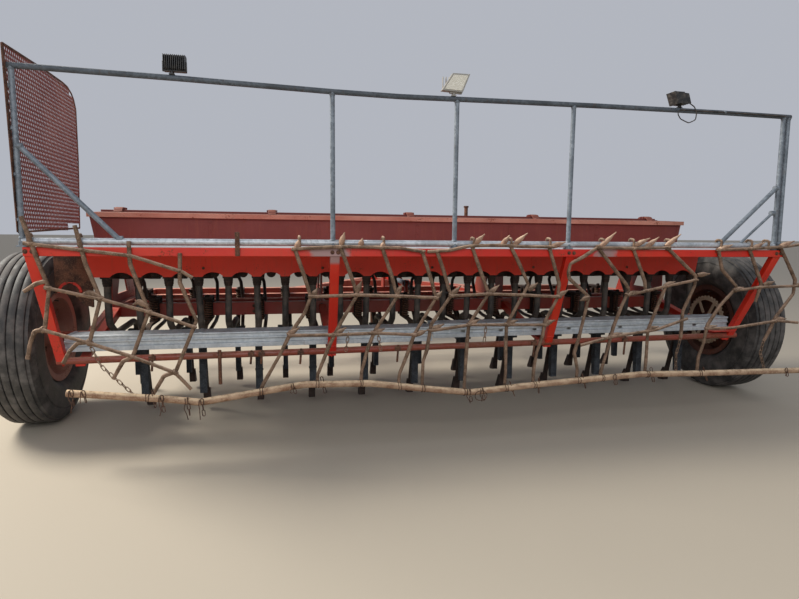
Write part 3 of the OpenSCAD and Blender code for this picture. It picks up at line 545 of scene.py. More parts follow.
def smooth_by_angle(mesh, degrees):
    """Smooth shading with every edge sharper than the angle marked sharp."""
    bm = bmesh.new()
    bm.from_mesh(mesh)
    limit = math.radians(degrees)
    for f in bm.faces:
        f.smooth = True
    for e in bm.edges:
        e.smooth = len(e.link_faces) == 2 and e.calc_face_angle(0) < limit
    bm.to_mesh(mesh)
    bm.free()


def round_edges(o, width=None):
    """Bevels the edges that turn by more than 30 degrees, by the panel's edge radius or by width in metres."""
    width = sizes().edge if width is None else width
    if width:
        b = o.modifiers.new("rounded_edges", "BEVEL")
        b.width = width
        b.segments = 2
        b.limit_method = "ANGLE"
        b.angle_limit = math.radians(30)
        b.use_clamp_overlap = True


def dress(node, finish, bevel=None):
    """Copies a CAD node, merges and flattens it, rounds its edges and shows it in the node's place."""
    src = frame["nodes"][node]
    mesh = src.data.copy()
    bm = bmesh.new()
    bm.from_mesh(mesh)
    bmesh.ops.remove_doubles(bm, verts=bm.verts, dist=2e-5)
    bmesh.ops.dissolve_limit(bm, angle_limit=math.radians(0.6), verts=bm.verts, edges=bm.edges)
    bm.to_mesh(mesh)
    bm.free()
    o = to_object(node + "_dressed", mesh, src["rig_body"], finishes()[finish])
    round_edges(o, bevel)
    smooth_by_angle(mesh, 40)
    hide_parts(node)


class Solid:
    """Closed plain forms gathered into one mesh; places are in millimetres from the wheel axle."""

    def __init__(self):
        self.bm = bmesh.new()

    def rings(self, rings, caps=True):
        """Joins rings of points, each ring with as many points as the next, and closes both ends."""
        vs = [[self.bm.verts.new(mm(*p)) for p in ring] for ring in rings]
        n = len(vs[0])
        for a, b in zip(vs, vs[1:]):
            for k in range(n):
                self.bm.faces.new((a[k], a[(k + 1) % n], b[(k + 1) % n], b[k]))
        if caps:
            self.bm.faces.new(list(reversed(vs[0])))
            self.bm.faces.new(vs[-1])

    def looped(self, rings):
        """Joins rings into a closed loop, such as a link or an eye."""
        self.rings(rings + [rings[0]], caps=False)
        bmesh.ops.remove_doubles(self.bm, verts=self.bm.verts, dist=1e-6)

    def prism_x(self, x0, w, outline):
        """The outline of (y, z) points drawn out along X from x0 by w."""
        self.rings([[(x, y, z) for y, z in outline] for x in (x0, x0 + w)])

    def prism_y(self, y0, t, outline):
        """The outline of (x, z) points drawn out along Y from y0 by t."""
        self.rings([[(x, y, z) for x, z in outline] for y in (y0, y0 + t)])

    def block(self, a, b):
        """A block between two corners."""
        self.prism_x(a[0], b[0] - a[0], [(a[1], a[2]), (b[1], a[2]), (b[1], b[2]), (a[1], b[2])])

    def bar(self, a, b, w, t):
        """A flat bar from a to b, w along X and t across; t may be a pair, at a and at b."""
        t0, t1 = t if isinstance(t, tuple) else (t, t)
        d = (Vector(b) - Vector(a)).normalized()
        side = Vector((1, 0, 0)) if abs(d.x) < 0.9 else Vector((0, 1, 0))
        side = (side - d * side.dot(d)).normalized()
        up = d.cross(side)
        corners = ((-1, -1), (1, -1), (1, 1), (-1, 1))
        self.rings([[Vector(p) + side * i * w / 2 + up * j * tt / 2 for i, j in corners]
                    for p, tt in ((a, t0), (b, t1))])

    def disc(self, a, b, d, n=16, d2=None):
        """A round bar from a to b, d across at a and d2 at b."""
        a, b = Vector(a), Vector(b)
        q = (b - a).to_track_quat("Z", "Y")
        self.rings([[c + q @ Vector((u, v, 0)) for u, v in around(r, n)] for c, r in ((a, d / 2), (b, (d2 or d) / 2))])

    def lathe(self, at, profile, n):
        """Turns a closed profile of (along X, radius) points about an X axis through at."""
        pts = [[(at[0] + a, at[1] + r * c, at[2] + r * s) for a, r in profile] for c, s in around(1, n)]
        vs = [[self.bm.verts.new(mm(*p)) for p in ring] for ring in pts]
        m = len(profile)
        for i in range(n):
            for k in range(m):
                self.bm.faces.new((vs[i][k], vs[i][(k + 1) % m], vs[(i + 1) % n][(k + 1) % m], vs[(i + 1) % n][k]))

    def washer(self, x, w, at_z, outer, inner):
        """A flat ring from x to x + w, between two loops of as many (y, z) points, its middle at height at_z."""
        new = self.bm.verts.new
        out, ins = [[[new(mm(x + q * w, a, at_z + c)) for a, c in loop] for q in (0, 1)] for loop in (outer, inner)]
        for j in range(len(outer)):
            i = (j + 1) % len(outer)
            for quad in ((out[0][j], out[0][i], out[1][i], out[1][j]), (ins[0][i], ins[0][j], ins[1][j], ins[1][i]),
                         (out[0][i], out[0][j], ins[0][j], ins[0][i]), (out[1][j], out[1][i], ins[1][i], ins[1][j])):
                self.bm.faces.new(quad)

    def mesh(self, name, degrees=40):
        bmesh.ops.recalc_face_normals(self.bm, faces=self.bm.faces)
        m = bpy.data.meshes.new(name)
        self.bm.to_mesh(m)
        self.bm.free()
        smooth_by_angle(m, degrees)
        return m

    def piece(self, name, finish, body, *nodes, bevel=None):
        o = to_object(name, self.mesh(name), body, finishes()[finish])
        round_edges(o, bevel)
        if nodes:
            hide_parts(*nodes)


# ---------------------------------------------------------------- geometry node tools

def new_tree(name, *inputs):
    """An empty geometry tree with the named inputs, each (name, socket kind, default)."""
    t = bpy.data.node_groups.new(name, "GeometryNodeTree")
    t.interface.new_socket("Geometry", in_out="INPUT", socket_type="NodeSocketGeometry")
    for label, kind, default in inputs:
        s = t.interface.new_socket(label, in_out="INPUT", socket_type="NodeSocket" + kind)
        if default is not None:
            s.default_value = default
    t.interface.new_socket("Material", in_out="INPUT", socket_type="NodeSocketMaterial")
    t.interface.new_socket("Geometry", in_out="OUTPUT", socket_type="NodeSocketGeometry")
    return t, t.nodes.new("NodeGroupInput").outputs, t.nodes.new("NodeGroupOutput").inputs


def close_tree(t, last, given, out):
    """Realizes the instances, sets the material, links the result and returns the tree."""
    last = add(t, "GeometryNodeRealizeInstances", Geometry=last)
    last = add(t, "GeometryNodeSetMaterial", Geometry=last, Material=given["Material"])
    t.links.new(last.outputs[0], out[0])
    return t


@functools.cache
def sweep_tree():
    """A round bar along every chain of edges, its bends rounded and its surface hammered by Wobble.

    The attribute thick scales the radius."""
    t, given, out = new_tree(
        "swept_bar", ("Radius", "Float", 0.01), ("Sides", "Int", 10), ("Bend", "Float", 0.02),
        ("Step", "Float", 0.01), ("Wobble", "Float", 0.0), ("Lump", "Float", 40.0), ("Seed", "Float", 0.0))
    c = add(t, "GeometryNodeMeshToCurve", Mesh=given["Geometry"])
    c = add(t, "GeometryNodeFilletCurve", {"mode": "POLY", "Count": 5, "Limit Radius": True},
            Curve=c, Radius=given["Bend"])
    c = add(t, "GeometryNodeResampleCurve", {"mode": "LENGTH", "keep_last_segment": True},
            Curve=c, Length=given["Step"])
    ring = add(t, "GeometryNodeCurvePrimitiveCircle", {"mode": "RADIUS"},
               Resolution=given["Sides"], Radius=given["Radius"])
    thick = add(t, "GeometryNodeInputNamedAttribute", {"data_type": "FLOAT", "Name": "thick"})
    m = add(t, "GeometryNodeCurveToMesh", {"Fill Caps": True}, Curve=c, Profile_Curve=ring, Scale=thick)
    at = add(t, "GeometryNodeInputPosition")
    seed = add(t, "ShaderNodeCombineXYZ", X=given["Seed"], Y=given["Seed"])
    moved = add(t, "ShaderNodeVectorMath", {"operation": "ADD"}, i0=at, i1=seed)
    n = add(t, "ShaderNodeTexNoise", {"Detail": 3.0, "Roughness": 0.6}, Vector=moved, Scale=given["Lump"])
    n = add(t, "ShaderNodeVectorMath", {"operation": "SUBTRACT", 1: (0.5, 0.5, 0.5)}, i0=n.outputs["Color"])
    n = add(t, "ShaderNodeVectorMath", {"operation": "SCALE"}, i0=n, Scale=given["Wobble"])
    m = add(t, "GeometryNodeSetPosition", Geometry=m, Offset=n)
    m = add(t, "GeometryNodeSetShadeSmooth", Geometry=m)
    return close_tree(t, m, given, out)


@functools.cache
def scatter_tree():
    """The object Unit on every point, turned by the attribute turn and scaled by the attribute size."""
    t, given, out = new_tree("scattered_units", ("Unit", "Object", None))
    unit = add(t, "GeometryNodeObjectInfo", {"transform_space": "ORIGINAL"}, Object=given["Unit"])
    turn = add(t, "GeometryNodeInputNamedAttribute", {"data_type": "FLOAT_VECTOR", "Name": "turn"})
    turn = add(t, "FunctionNodeEulerToRotation", Euler=turn)
    size = add(t, "GeometryNodeInputNamedAttribute", {"data_type": "FLOAT_VECTOR", "Name": "size"})
    i = add(t, "GeometryNodeInstanceOnPoints", Points=given["Geometry"], Instance=unit.outputs["Geometry"],
            Rotation=turn, Scale=size)
    return close_tree(t, i, given, out)


@functools.cache
def chain_tree():
    """Links one after another along every chain of edges, each turned a quarter against the last."""
    t, given, out = new_tree("linked_chain", ("Link", "Object", None), ("Pitch", "Float", 0.027))
    c = add(t, "GeometryNodeMeshToCurve", Mesh=given["Geometry"])
    p = add(t, "GeometryNodeCurveToPoints", {"mode": "LENGTH"}, Curve=c, Length=given["Pitch"])
    odd = add(t, "ShaderNodeMath", {"operation": "MODULO", 1: 2.0}, i0=add(t, "GeometryNodeInputIndex"))
    spin = add(t, "ShaderNodeMath", {"operation": "MULTIPLY", 1: math.pi / 2}, i0=odd)
    spin = add(t, "FunctionNodeAxisAngleToRotation", {"Axis": (0, 0, 1)}, Angle=spin)
    turn = add(t, "FunctionNodeRotateRotation", {"rotation_space": "LOCAL"},
               Rotation=p.outputs["Rotation"], Rotate_By=spin)
    unit = add(t, "GeometryNodeObjectInfo", {"transform_space": "ORIGINAL"}, Object=given["Link"])
    i = add(t, "GeometryNodeInstanceOnPoints", Points=p.outputs["Points"],
            Instance=unit.outputs["Geometry"], Rotation=turn)
    return close_tree(t, i, given, out)


@functools.cache
def coil_tree():
    """A coil spring of round wire standing on every point."""
    t, given, out = new_tree("coil_spring", ("Radius", "Float", 0.026), ("Wire", "Float", 0.0045),
                             ("Turns", "Float", 8.0), ("Height", "Float", 0.15))
    c = add(t, "GeometryNodeCurveSpiral", {"Resolution": 14}, Rotations=given["Turns"], Start_Radius=given["Radius"],
            End_Radius=given["Radius"], Height=given["Height"])
    ring = add(t, "GeometryNodeCurvePrimitiveCircle", {"mode": "RADIUS", "Resolution": 6}, Radius=given["Wire"])
    m = add(t, "GeometryNodeCurveToMesh", {"Fill Caps": True}, Curve=c, Profile_Curve=ring)
    m = add(t, "GeometryNodeSetShadeSmooth", Geometry=m)
    i = add(t, "GeometryNodeInstanceOnPoints", Points=given["Geometry"], Instance=m)
    return close_tree(t, i, given, out)


def grow(name, mesh, tree, values, finish, body, *nodes):
    """Runs a geometry tree on a mesh, keeps the result as a plain mesh and lets it ride on a body."""
    o = bpy.data.objects.new(name, mesh)
    bpy.context.scene.collection.objects.link(o)
    mod = o.modifiers.new("grown", "NODES")
    mod.node_group = tree
    values = dict(values, Material=finishes()[finish])
    for item in tree.interface.items_tree:
        if item.item_type == "SOCKET" and item.in_out == "INPUT" and item.name in values:
            mod[item.identifier] = values.pop(item.name)
    if values:
        raise RuntimeError(f"{tree.name} has no input {sorted(values)}")
    bpy.context.view_layer.update()
    done = bpy.data.meshes.new_from_object(o.evaluated_get(bpy.context.evaluated_depsgraph_get()))
    o.modifiers.remove(mod)
    o.data = done
    done.name = name
    if not done.polygons:
        raise RuntimeError(f"{name} came out empty")
    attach(o, body)
    if nodes:
        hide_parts(*nodes)
    return o


def paths_mesh(name, paths):
    """Edges along each path of (x, y, z) or (x, y, z, thickness) points in millimetres from the axle."""
    verts, edges, thick = [], [], []
    for p in paths:
        n = len(verts)
        verts += [mm(*q[:3]) for q in p]
        thick += [q[3] if len(q) > 3 else 1.0 for q in p]
        edges += [(n + k, n + k + 1) for k in range(len(p) - 1)]
    m = bpy.data.meshes.new(name)
    m.from_pydata(verts, edges, [])
    m.attributes.new("thick", "FLOAT", "POINT").data.foreach_set("value", thick)
    return m


def sweep(name, paths, d, finish, body, *nodes, sides=10, bend=25, step=14, wobble=0.0, lump=40.0, seed=0.0):
    """Round bars of diameter d along the paths, all in millimetres."""
    values = {"Radius": d / 2000, "Sides": sides, "Bend": bend / 1000, "Step": step / 1000,
              "Wobble": wobble / 1000, "Lump": lump, "Seed": seed}
    return grow(name, paths_mesh(name, paths), sweep_tree(), values, finish, body, *nodes)


def points_mesh(name, points):
    """Points, each (x, y, z, turn in degrees, size) in millimetres from the axle; turn and size may be left out."""
    m = bpy.data.meshes.new(name)
    m.from_pydata([mm(*p[:3]) for p in points], [], [])
    turn = [math.radians(a) for p in points for a in (p[3] if len(p) > 3 else (0, 0, 0))]
    size = [p[4] if len(p) > 4 else 1.0 for p in points for _ in range(3)]
    m.attributes.new("turn", "FLOAT_VECTOR", "POINT").data.foreach_set("vector", turn)
    m.attributes.new("size", "FLOAT_VECTOR", "POINT").data.foreach_set("vector", size)
    return m


PARTS = {}


def loose(name, make):
    """A unit that only the trees use: made once, about its own origin, and taken away before the end."""
    if name not in PARTS:
        s = Solid()
        make(s)
        m = s.mesh(name)
        m.transform(Matrix.Translation(-put(0, 0, 0)))
        PARTS[name] = bpy.data.objects.new(name, m)
        bpy.context.scene.collection.objects.link(PARTS[name])
        PARTS[name].hide_render = True
    return PARTS[name]


def scatter(name, unit, points, finish, body, *nodes):
    return grow(name, points_mesh(name, points), scatter_tree(), {"Unit": unit}, finish, body, *nodes)


def hex_bolt(s):
    """Bolt head 17 mm across the flats with its washer, standing along +Z."""
    s.disc((0, 0, 0), (0, 0, 2), 26, 14)
    s.disc((0, 0, 2), (0, 0, 10), 19.6, 6, 18.4)


FACING = {"+z": (0, 0, 0), "-z": (180, 0, 0), "-y": (90, 0, 0), "+y": (-90, 0, 0), "+x": (0, 90, 0), "-x": (0, -90, 0)}


def bolts(name, points, finish, body, size=1.0):
    """Bolt heads at (x, y, z, facing[, own size]), facing being a sign and a letter of an axis."""
    rng = random.Random(len(points))
    heads = [(x, y, z, FACING[aim], (own[0] if own else size) * rng.uniform(0.95, 1.05))
             for x, y, z, aim, *own in points]
    scatter(name, loose("hex_bolt", hex_bolt), heads, finish, body)


def chain_link(s):
    """A link about 39 by 20 mm of 5 mm wire, its long axis along Z."""
    wire, bow, straight, steps = 2.5, 7.5, 9.5, 12
    path = [(u, math.copysign(straight, v) + v) for v, u in around(bow, steps, 0.5)]
    rings = []
    for k, (x, z) in enumerate(path):
        a, b = path[k - 1], path[(k + 1) % steps]
        out = Vector((b[0] - a[0], 0, b[1] - a[1])).normalized().cross(Vector((0, 1, 0)))
        rings.append([(x + c * out.x, s_, z + c * out.z) for c, s_ in around(wire, 5)])
    s.looped(rings)


def knuckle(s):
    """A forged eye 37 mm across with a 15 mm hole, its axis along Z."""
    rings = []
    for c, d in around(1, 12):
        out = Vector((c, d, 0))
        rings.append([out * (13 + u) + Vector((0, 0, 1.25)) * v for u, v in around(5.5, 6)])
    s.looped(rings)


def chains(name, paths, finish, body):
    values = {"Link": loose("chain_link", chain_link), "Pitch": 0.0265}
    grow(name, paths_mesh(name, paths), chain_tree(), values, finish, body)


# ---------------------------------------------------------------- operators

def area_light(name, at, aim, size, watts, colour):
    d = bpy.data.lights.new(name, "AREA")
    d.shape = "RECTANGLE"
    d.size, d.size_y = size
    d.energy = watts
    d.color = colour
    o = bpy.data.objects.new(name, d)
    bpy.context.scene.collection.objects.link(o)
    o.location = at
    o.rotation_euler = (Vector(aim) - Vector(at)).to_track_quat("-Z", "Y").to_euler()


class DRILL_OT_stage(bpy.types.Operator):
    """Pale floor, soft lights and the camera at the photographer's place"""
    bl_idname = "drill.stage"
    bl_label = "Stage"

    def execute(self, context):
        scene = context.scene
        sky, sky_strength = (0.86, 0.90, 1.0, 1), 0.52
        floor_side, floor_colour = 600, (0.41, 0.36, 0.285, 1)
        # camera solved from the wheels, the box, the rail and the planks
        eye = put(-1.005, -3.901, 1.199)
        yaw, pitch, roll = math.radians(12.02), math.radians(-6.54), math.radians(-0.53)
        focal_px, picture_px = 558.1, 799

        world = bpy.data.worlds.new("soft_studio_sky")
        world.use_nodes = True
        background = world.node_tree.nodes["Background"]
        background.inputs[0].default_value = sky
        background.inputs[1].default_value = sky_strength
        scene.world = world
        bpy.ops.mesh.primitive_plane_add(size=floor_side)
        floor = context.object
        floor.name = "floor"
        m, _, bsdf, _ = start_material("pale_studio_floor")
        bsdf.inputs["Base Color"].default_value = floor_colour
        bsdf.inputs["Roughness"].default_value = 0.9
        floor.data.materials.append(m)
        area_light("key", (-7.0, 1.0, 6.5), (0, -1.2, 0.8), (3.0, 3.0), 1150, (1.0, 0.95, 0.86))
        area_light("front_fill", (-1.5, -9.0, 4.5), (0, -1.0, 0.9), (8.0, 4.0), 300, (0.95, 0.97, 1.0))

        cam = bpy.data.cameras.new("camera")
        o = bpy.data.objects.new("camera", cam)
        scene.collection.objects.link(o)
        cam.sensor_width = 36.0
        cam.lens = focal_px / picture_px * cam.sensor_width
        cam.dof.use_dof = False
        fwd = Vector((math.sin(yaw) * math.cos(pitch), math.cos(yaw) * math.cos(pitch), math.sin(pitch)))
        right = Vector((math.cos(yaw), -math.sin(yaw), 0))
        down = fwd.cross(right)
        right, down = (math.cos(roll) * right + math.sin(roll) * down, math.cos(roll) * down - math.sin(roll) * right)
        turn = Matrix((right, -down, -fwd)).transposed()
        o.matrix_world = Matrix.Translation(eye) @ turn.to_4x4()
        scene.camera = o
        scene.view_settings.view_transform = "Standard"
        return {"FINISHED"}


class DRILL_OT_frame(bpy.types.Operator):
    """Frame, drawbar, stands, lift, jack and the guard by the left wheel, with the bolts of their joints"""
    bl_idname = "drill.frame"
    bl_label = "Frame"

    def execute(self, context):
        for finish, nodes in (("frame", "main_frame drawbar box_stands rockshaft"), ("red", "lift_barrel"),
                              ("zinc", "lift_rod"), ("red", "jack_sleeve"), ("rust", "jack_leg pipe_stub feed_shafts")):
            for node in nodes.split():
                dress(node, finish)
        # sheet by the left wheel, cut out over the stub axle and edged with a bent strip
        rear, sheet, top, inner, outer = -172, 6, 1095, -2140, -2350
        arch_x, arch_z, arch_r = -2266, 834, 62
        s = Solid()
        s.prism_y(rear + sheet, sheet, [(inner, top), (outer, top), (outer, 820), (-2300, 878), (-2266, 892),
                                        (-2236, 878), (-2226, 800), (-2205, 760), (inner, 740)])
        s.block((inner - 10, rear, 742), (inner + 2, rear + 18, top))
        s.piece("wheel_guard_sheet", "rust", body("wheel_guard"), "wheel_guard")
        s = Solid()
        arc = [(arch_x + c, rear, arch_z + r) for c, r in around(arch_r, 20)[:11]]
        for a, b in zip(arc, arc[1:]):
            s.bar(a, b, 16, 5)
        s.piece("wheel_guard_edge", "red", body("wheel_guard"))
        at = [(x, y - BEAM_T / 2, FRAME_Z + z, "-y")
              for y in (REAR_BEAM, FRONT_BEAM) for x in (-1200, -712, 712, 1200) for z in (25, 65)]
        bolts("frame_bolts", at, "rust", body("main_frame"))
        return {"FINISHED"}


class DRILL_OT_grain_box(bpy.types.Operator):
    """Grain box with its lids, hinge strip, seam bolts and the rear lid's lip, a lighter strip of painted sunlight"""
    bl_idname = "drill.grain_box"
    bl_label = "Grain box"

    def execute(self, context):
        half, end_lean, sheet = 2250, 65, 4
        rim, knee, trough, saddle = 1330, 1130, 965, 1080
        rear, front, ridge = 190, 810, 500
        flange, fold = 14, 12
        crest, crest_half, channel_half, channel_top = 1331, 95, 44, 1364
        pin_y, pin_z, seat = 17, 1375, 0.3
        hinges = [(i - 2) * (half - 120) / 2 for i in range(5)]

        def end_x(z):
            """Where the leaning end of the box stands at height z."""
            return half - end_lean * (rim - min(z, rim)) / (rim - trough)

        # folded shell with two troughs, the division between them and the rolled rims
        s = Solid()
        run = [(rear, rim - fold), (rear, knee), (300, trough), (390, trough), (ridge, saddle),
               (610, trough), (700, trough), (front, knee), (front, rim - fold)]
        for a, b in zip(run, run[1:]):
            a, b = Vector(a), Vector(b)
            u = (b - a).normalized()
            n = Vector((-u.y, u.x)) * sheet
            s.rings([[(k * (end_x(z) - sheet), y, z) for y, z in (a, b, b + n, a + n)] for k in (-1, 1)])
        s.block((-half + sheet, ridge - sheet / 2, saddle), (half - sheet, ridge + sheet / 2, rim))
        for y in (rear - flange, front - sheet):
            s.block((-half + sheet, y, rim - fold), (half - sheet, y + flange + sheet, rim))
        end = [(rear - flange, rim - fold)] + run + [
            (front + flange, rim - fold), (front + flange, rim), (ridge + crest_half, crest),
            (ridge - crest_half, crest), (rear - flange, rim)]
        corner = ((0, knee), (0, rim - 14), (26, rim - 14), (26, knee))
        for k in (-1, 1):
            s.rings([[(k * (end_x(z) - q), y, z) for y, z in end] for q in (0, sheet)])
            # angle iron up the rear corner, riveted to both sheets
            s.rings([[(k * (end_x(z) - q), y, z) for q, z in corner] for y in (rear - 3, rear)])
        for x in SEAMS:
            s.block((x - 14, rear - 2.5, knee + 8), (x + 14, rear, rim - 16))
        s.piece("grain_box", "box", body("hopper"), "hopper")

        # ridge sheet, its channel, and the ears that hold the lids' pins
        s = Solid()
        s.block((-half, ridge - crest_half, crest + seat), (half, ridge + crest_half, crest + sheet))
        s.block((-half, ridge - channel_half, crest + sheet), (half - 50, ridge + channel_half, channel_top))
        for k in (-1, 1):
            y = ridge + k * pin_y
            for x in hinges:
                for ear in (x - 35, x + 35):
                    s.block((ear - 4, y - 8, channel_top - 2), (ear + 4, y + 8, pin_z + 6))
                s.disc((x - 39, y, pin_z), (x + 39, y, pin_z), 9, 12)
        s.piece("ridge_channel", "box", body("ridge_strip"), "ridge_strip")

        # lids: a flat sheet from beside the channel to over the rim, its skirt, and goose-necked straps to the pins
        inner, outer, overhang, skirt = 74, 332, 6, 26
        za = crest + 12
        zb = rim + seat - (za - rim) * 8 / (outer - inner)
        neck = ((134, 12.5), (72, 15.5), (50, 35), (17, 35), (17, 53), (52, 47), (66, 35), (76, 22), (134, 18.5))
        for node, k in (("lid_rear", -1), ("lid_front", 1)):
            s = Solid()
            ya, yb = ridge + k * inner, ridge + k * outer
            s.prism_x(-half - overhang, 2 * (half + overhang), [
                (ya, za), (ya, za + sheet), (yb, zb + sheet), (yb + k * sheet, zb + sheet),
                (yb + k * sheet, zb - skirt), (yb, zb - skirt), (yb, zb)])
            y = ridge + k * pin_y
            for x in hinges:
                s.disc((x - 28, y, pin_z), (x + 28, y, pin_z), 18, 16)
                s.prism_x(x - 28, 56, [(ridge + k * a, crest + b) for a, b in neck])
            s.piece(node + "_sheet", "lid", body(node), node)
            # along the rear lid's lower edge a thin lighter strip: painted sunlight on the lip
            if k < 0:
                s = Solid()
                s.block((-half - overhang, yb - sheet - 1.2, zb - skirt),
                        (half + overhang, yb - sheet, zb + sheet + 0.4))
                s.piece("lid_lip", "lip", body(node), bevel=0.0004)
        at = [(x, rear - 2.5, z, "-y") for x in SEAMS for z in (1150, 1215, 1275)]
        bolts("box_bolts", at, "box", body("hopper"), 0.55)
        return {"FINISHED"}


class DRILL_OT_meters(bpy.types.Operator):
    """Scalloped cover and the cast meters behind it"""
    bl_idname = "drill.meters"
    bl_label = "Meters"

    def execute(self, context):
        for node in ("seed_meters", "fertiliser_meters"):
            dress(node, "cast", bevel=0.001)
        b = body("meter_cover")
        rows = [row_mm(i) for i in range(sizes().rows)]
        between = [x + 89 for x in rows[:-1]]
        # cover: each scallop is an arc of radius r that rises over the gap between two rows
        rear, sheet, low, top, rise, r = TUBE_Y - 30.3, 4, 930, 1100, 29, 87
        foot = (ROW_HALF + 68, ROW_HALF + 13)
        head = (ROW_HALF + 138, ROW_HALF + 43)
        reach = math.acos((r - rise) / r)
        turns = [reach * (k / 6 - 1) for k in range(13)]
        edge = [(-foot[0], low)]
        for x in between:
            edge += [(x + r * math.sin(a), low + rise - r + r * math.cos(a)) for a in turns]
        edge += [(foot[1], low), (head[1], top), (-head[0], top)]
        s = Solid()
        s.prism_y(rear - sheet, sheet, edge)
        s.block((-head[0], rear, top - sheet), (head[1], 189, top))
        # the cover's brighter red is painted sunlight
        s.piece("scalloped_cover", "panel", b, "meter_cover", bevel=0.0012)
        # the folded drip edge along its head and the seam straps
        s = Solid()
        s.block((-head[0], rear - 16, 1092), (head[1], rear - sheet, 1101))
        for x in SEAMS:
            s.block((x - 16, rear - 7, 962), (x + 16, rear - sheet, 1092))
        s.piece("cover_straps", "panel", b)
        bolts("cover_bolts", [(x, rear - 7, z, "-y") for x in SEAMS for z in (985, 1070)], "rust", b, 0.7)
        # caps over the hoses and ends of the agitator rods between them
        caps = Solid()
        for x in rows:
            caps.disc((x, TUBE_Y, 928), (x, TUBE_Y, 936), 66, 20)
            caps.disc((x, TUBE_Y, 884), (x, TUBE_Y, 902), 55, 20)
        for x in between:
            caps.disc((x, -160, 950), (x, -146, 950), 62, 20)
            caps.disc((x, -166, 950), (x, -160, 950), 30, 12)
        caps.piece("meter_caps", "cast", body("seed_meters"))
        return {"FINISHED"}


class DRILL_OT_hoses(bpy.types.Operator):
    """Rubber hoses from the seed and fertiliser meters to the boots"""
    bl_idname = "drill.hoses"
    bl_label = "Hoses"

    def execute(self, context):
        seed, fert, bands = [], [], Solid()
        fert_y, fert_aside = 655, 38
        for i in range(sizes().rows):
            x = row_mm(i)
            rear = i % 2 == 1
            b = (REAR_BEAM if rear else FRONT_BEAM) - BOOT_BACK
            lean = 5 * math.sin(i * 2.7)
            reach = [(x, b, 560)] if rear else [(x + lean, -60, 560), (x, b - 90, 572), (x, b - 14, 548)]
            seed.append([(x, TUBE_Y, 902), (x, TUBE_Y, 800), (x + lean, TUBE_Y + 8, 640)] + reach
                        + [(x, b, 520), (x, b, 490)])
            e = x - math.copysign(fert_aside, x)
            if rear:
                reach = [(e, 455, 590), (e, 330, 568), (e, b + 160, 560), (e, b + 50, 548)]
            else:
                reach = [(e, fert_y + 2, 620), (e, b + 60, 580)]
            fert.append([(x, fert_y, 889), (x, fert_y, 868), ((x + e) / 2, fert_y, 830)] + reach
                        + [(e, b + 6, 530), (e, b + 6, 492)])
            bands.disc((x, TUBE_Y, 872), (x, TUBE_Y, 884), 50, 18)
        worn = dict(step=22, wobble=1.5, lump=9)
        sweep("seed_hoses", seed, 42, "hose", body("seed_tubes"), "seed_tubes", sides=16, bend=70, **worn)
        sweep("fertiliser_hoses", fert, 26, "hose", body("fertiliser_tubes"), "fertiliser_tubes",
              sides=12, bend=50, **worn)
        bands.piece("hose_bands", "cast", body("seed_tubes"), bevel=0.0006)
        return {"FINISHED"}


def tine_steel(s):
    """Clamp, bracket, shank, bow, leg and toe of one tine, its beam's middle at y = 0."""
    half = BEAM_T / 2
    under, over, bracket = FRAME_Z - 24, BEAM_TOP + 12, BEAM_TOP + 49
    shank_z, bow_back, bow_r, bow_turn, leg, steel = FRAME_Z - 32, 200, 160, 105, 320, 18
    spring_y = -95
    # clamp round the beam and the bracket that the spring pushes against
    s.block((-30, -half - 14, under), (30, half + 14, FRAME_Z - 0.3))
    for k in (-1, 1):
        s.block((-30, k * (half + 7.3) - 7, under), (30, k * (half + 7.3) + 7, BEAM_TOP + 47))
    s.block((-30, -half - 14, BEAM_TOP + 0.3), (30, half + 14, over))
    s.block((-31, -129, bracket - 14), (31, half + 10, bracket))
    s.disc((0, spring_y, shank_z), (0, spring_y, BEAM_TOP + 66), 20, 12)
    s.disc((0, spring_y, bracket), (0, spring_y, BEAM_TOP + 62), 34, 6)
    for z in (shank_z + 8, BEAM_TOP + 28):
        s.disc((0, spring_y, z - 3), (0, spring_y, z + 4), 62, 18)
    # one flat outline: shank, bow and leg
    turns = [math.radians(90 + bow_turn * k / 14) for k in range(15)]

    def on_bow(r, a):
        return -bow_back + r * math.cos(a), shank_z - bow_r + r * math.sin(a)

    run = (-math.cos(math.radians(bow_turn)) * leg, -math.sin(math.radians(bow_turn)) * leg)
    outer = [on_bow(bow_r + steel / 2, a) for a in turns]
    inner = [on_bow(bow_r - steel / 2, a) for a in turns]
    ends = [(y + run[0], z + run[1]) for y, z in (outer[-1], inner[-1])]
    s.prism_x(-16, 32, [(40, shank_z - steel / 2), (40, shank_z + steel / 2)] + outer + ends + inner[::-1])
    s.block((-15, -20, shank_z), (15, 20, FRAME_Z - 20))
    # toe with its two bolts
    toe = -272
    s.prism_x(-22, 44, [(toe - 22, 155), (toe - 12, 55), (toe + 50, 45), (toe + 62, 57), (toe + 6, 157)])
    for y, z in ((toe + 2, 120), (toe - 12, 200)):
        s.disc((0, y - 24, z), (0, y - 12, z), 20, 6)
    for x in (-20, 20):
        for z in (FRAME_Z - 12, BEAM_TOP + 24):
            s.disc((x, -half - 15, z), (x, -half - 26, z), 18, 6)


def boot(width):
    """A maker of seed boots of that width, for a beam with its middle at y = 0."""
    def make(s):
        y, side = -BOOT_BACK, width / 2
        s.block((-53, y - 26, 466), (53, y + 26, 500))
        s.block((-57, y - 30, 494), (57, y + 30, 502))
        s.prism_x(-side, width, [(y - 24, 470), (y + 24, 470), (y + 22, 250), (y + 12, 160), (y - 24, 160)])
        s.prism_x(-5, 10, [(y + 10, 430), (y + 48, 430), (y + 60, 300), (y + 10, 260)])
        for z in (420, 300):
            s.disc((-side - 4, y, z), (side + 4, y, z), 16, 6)
    return make


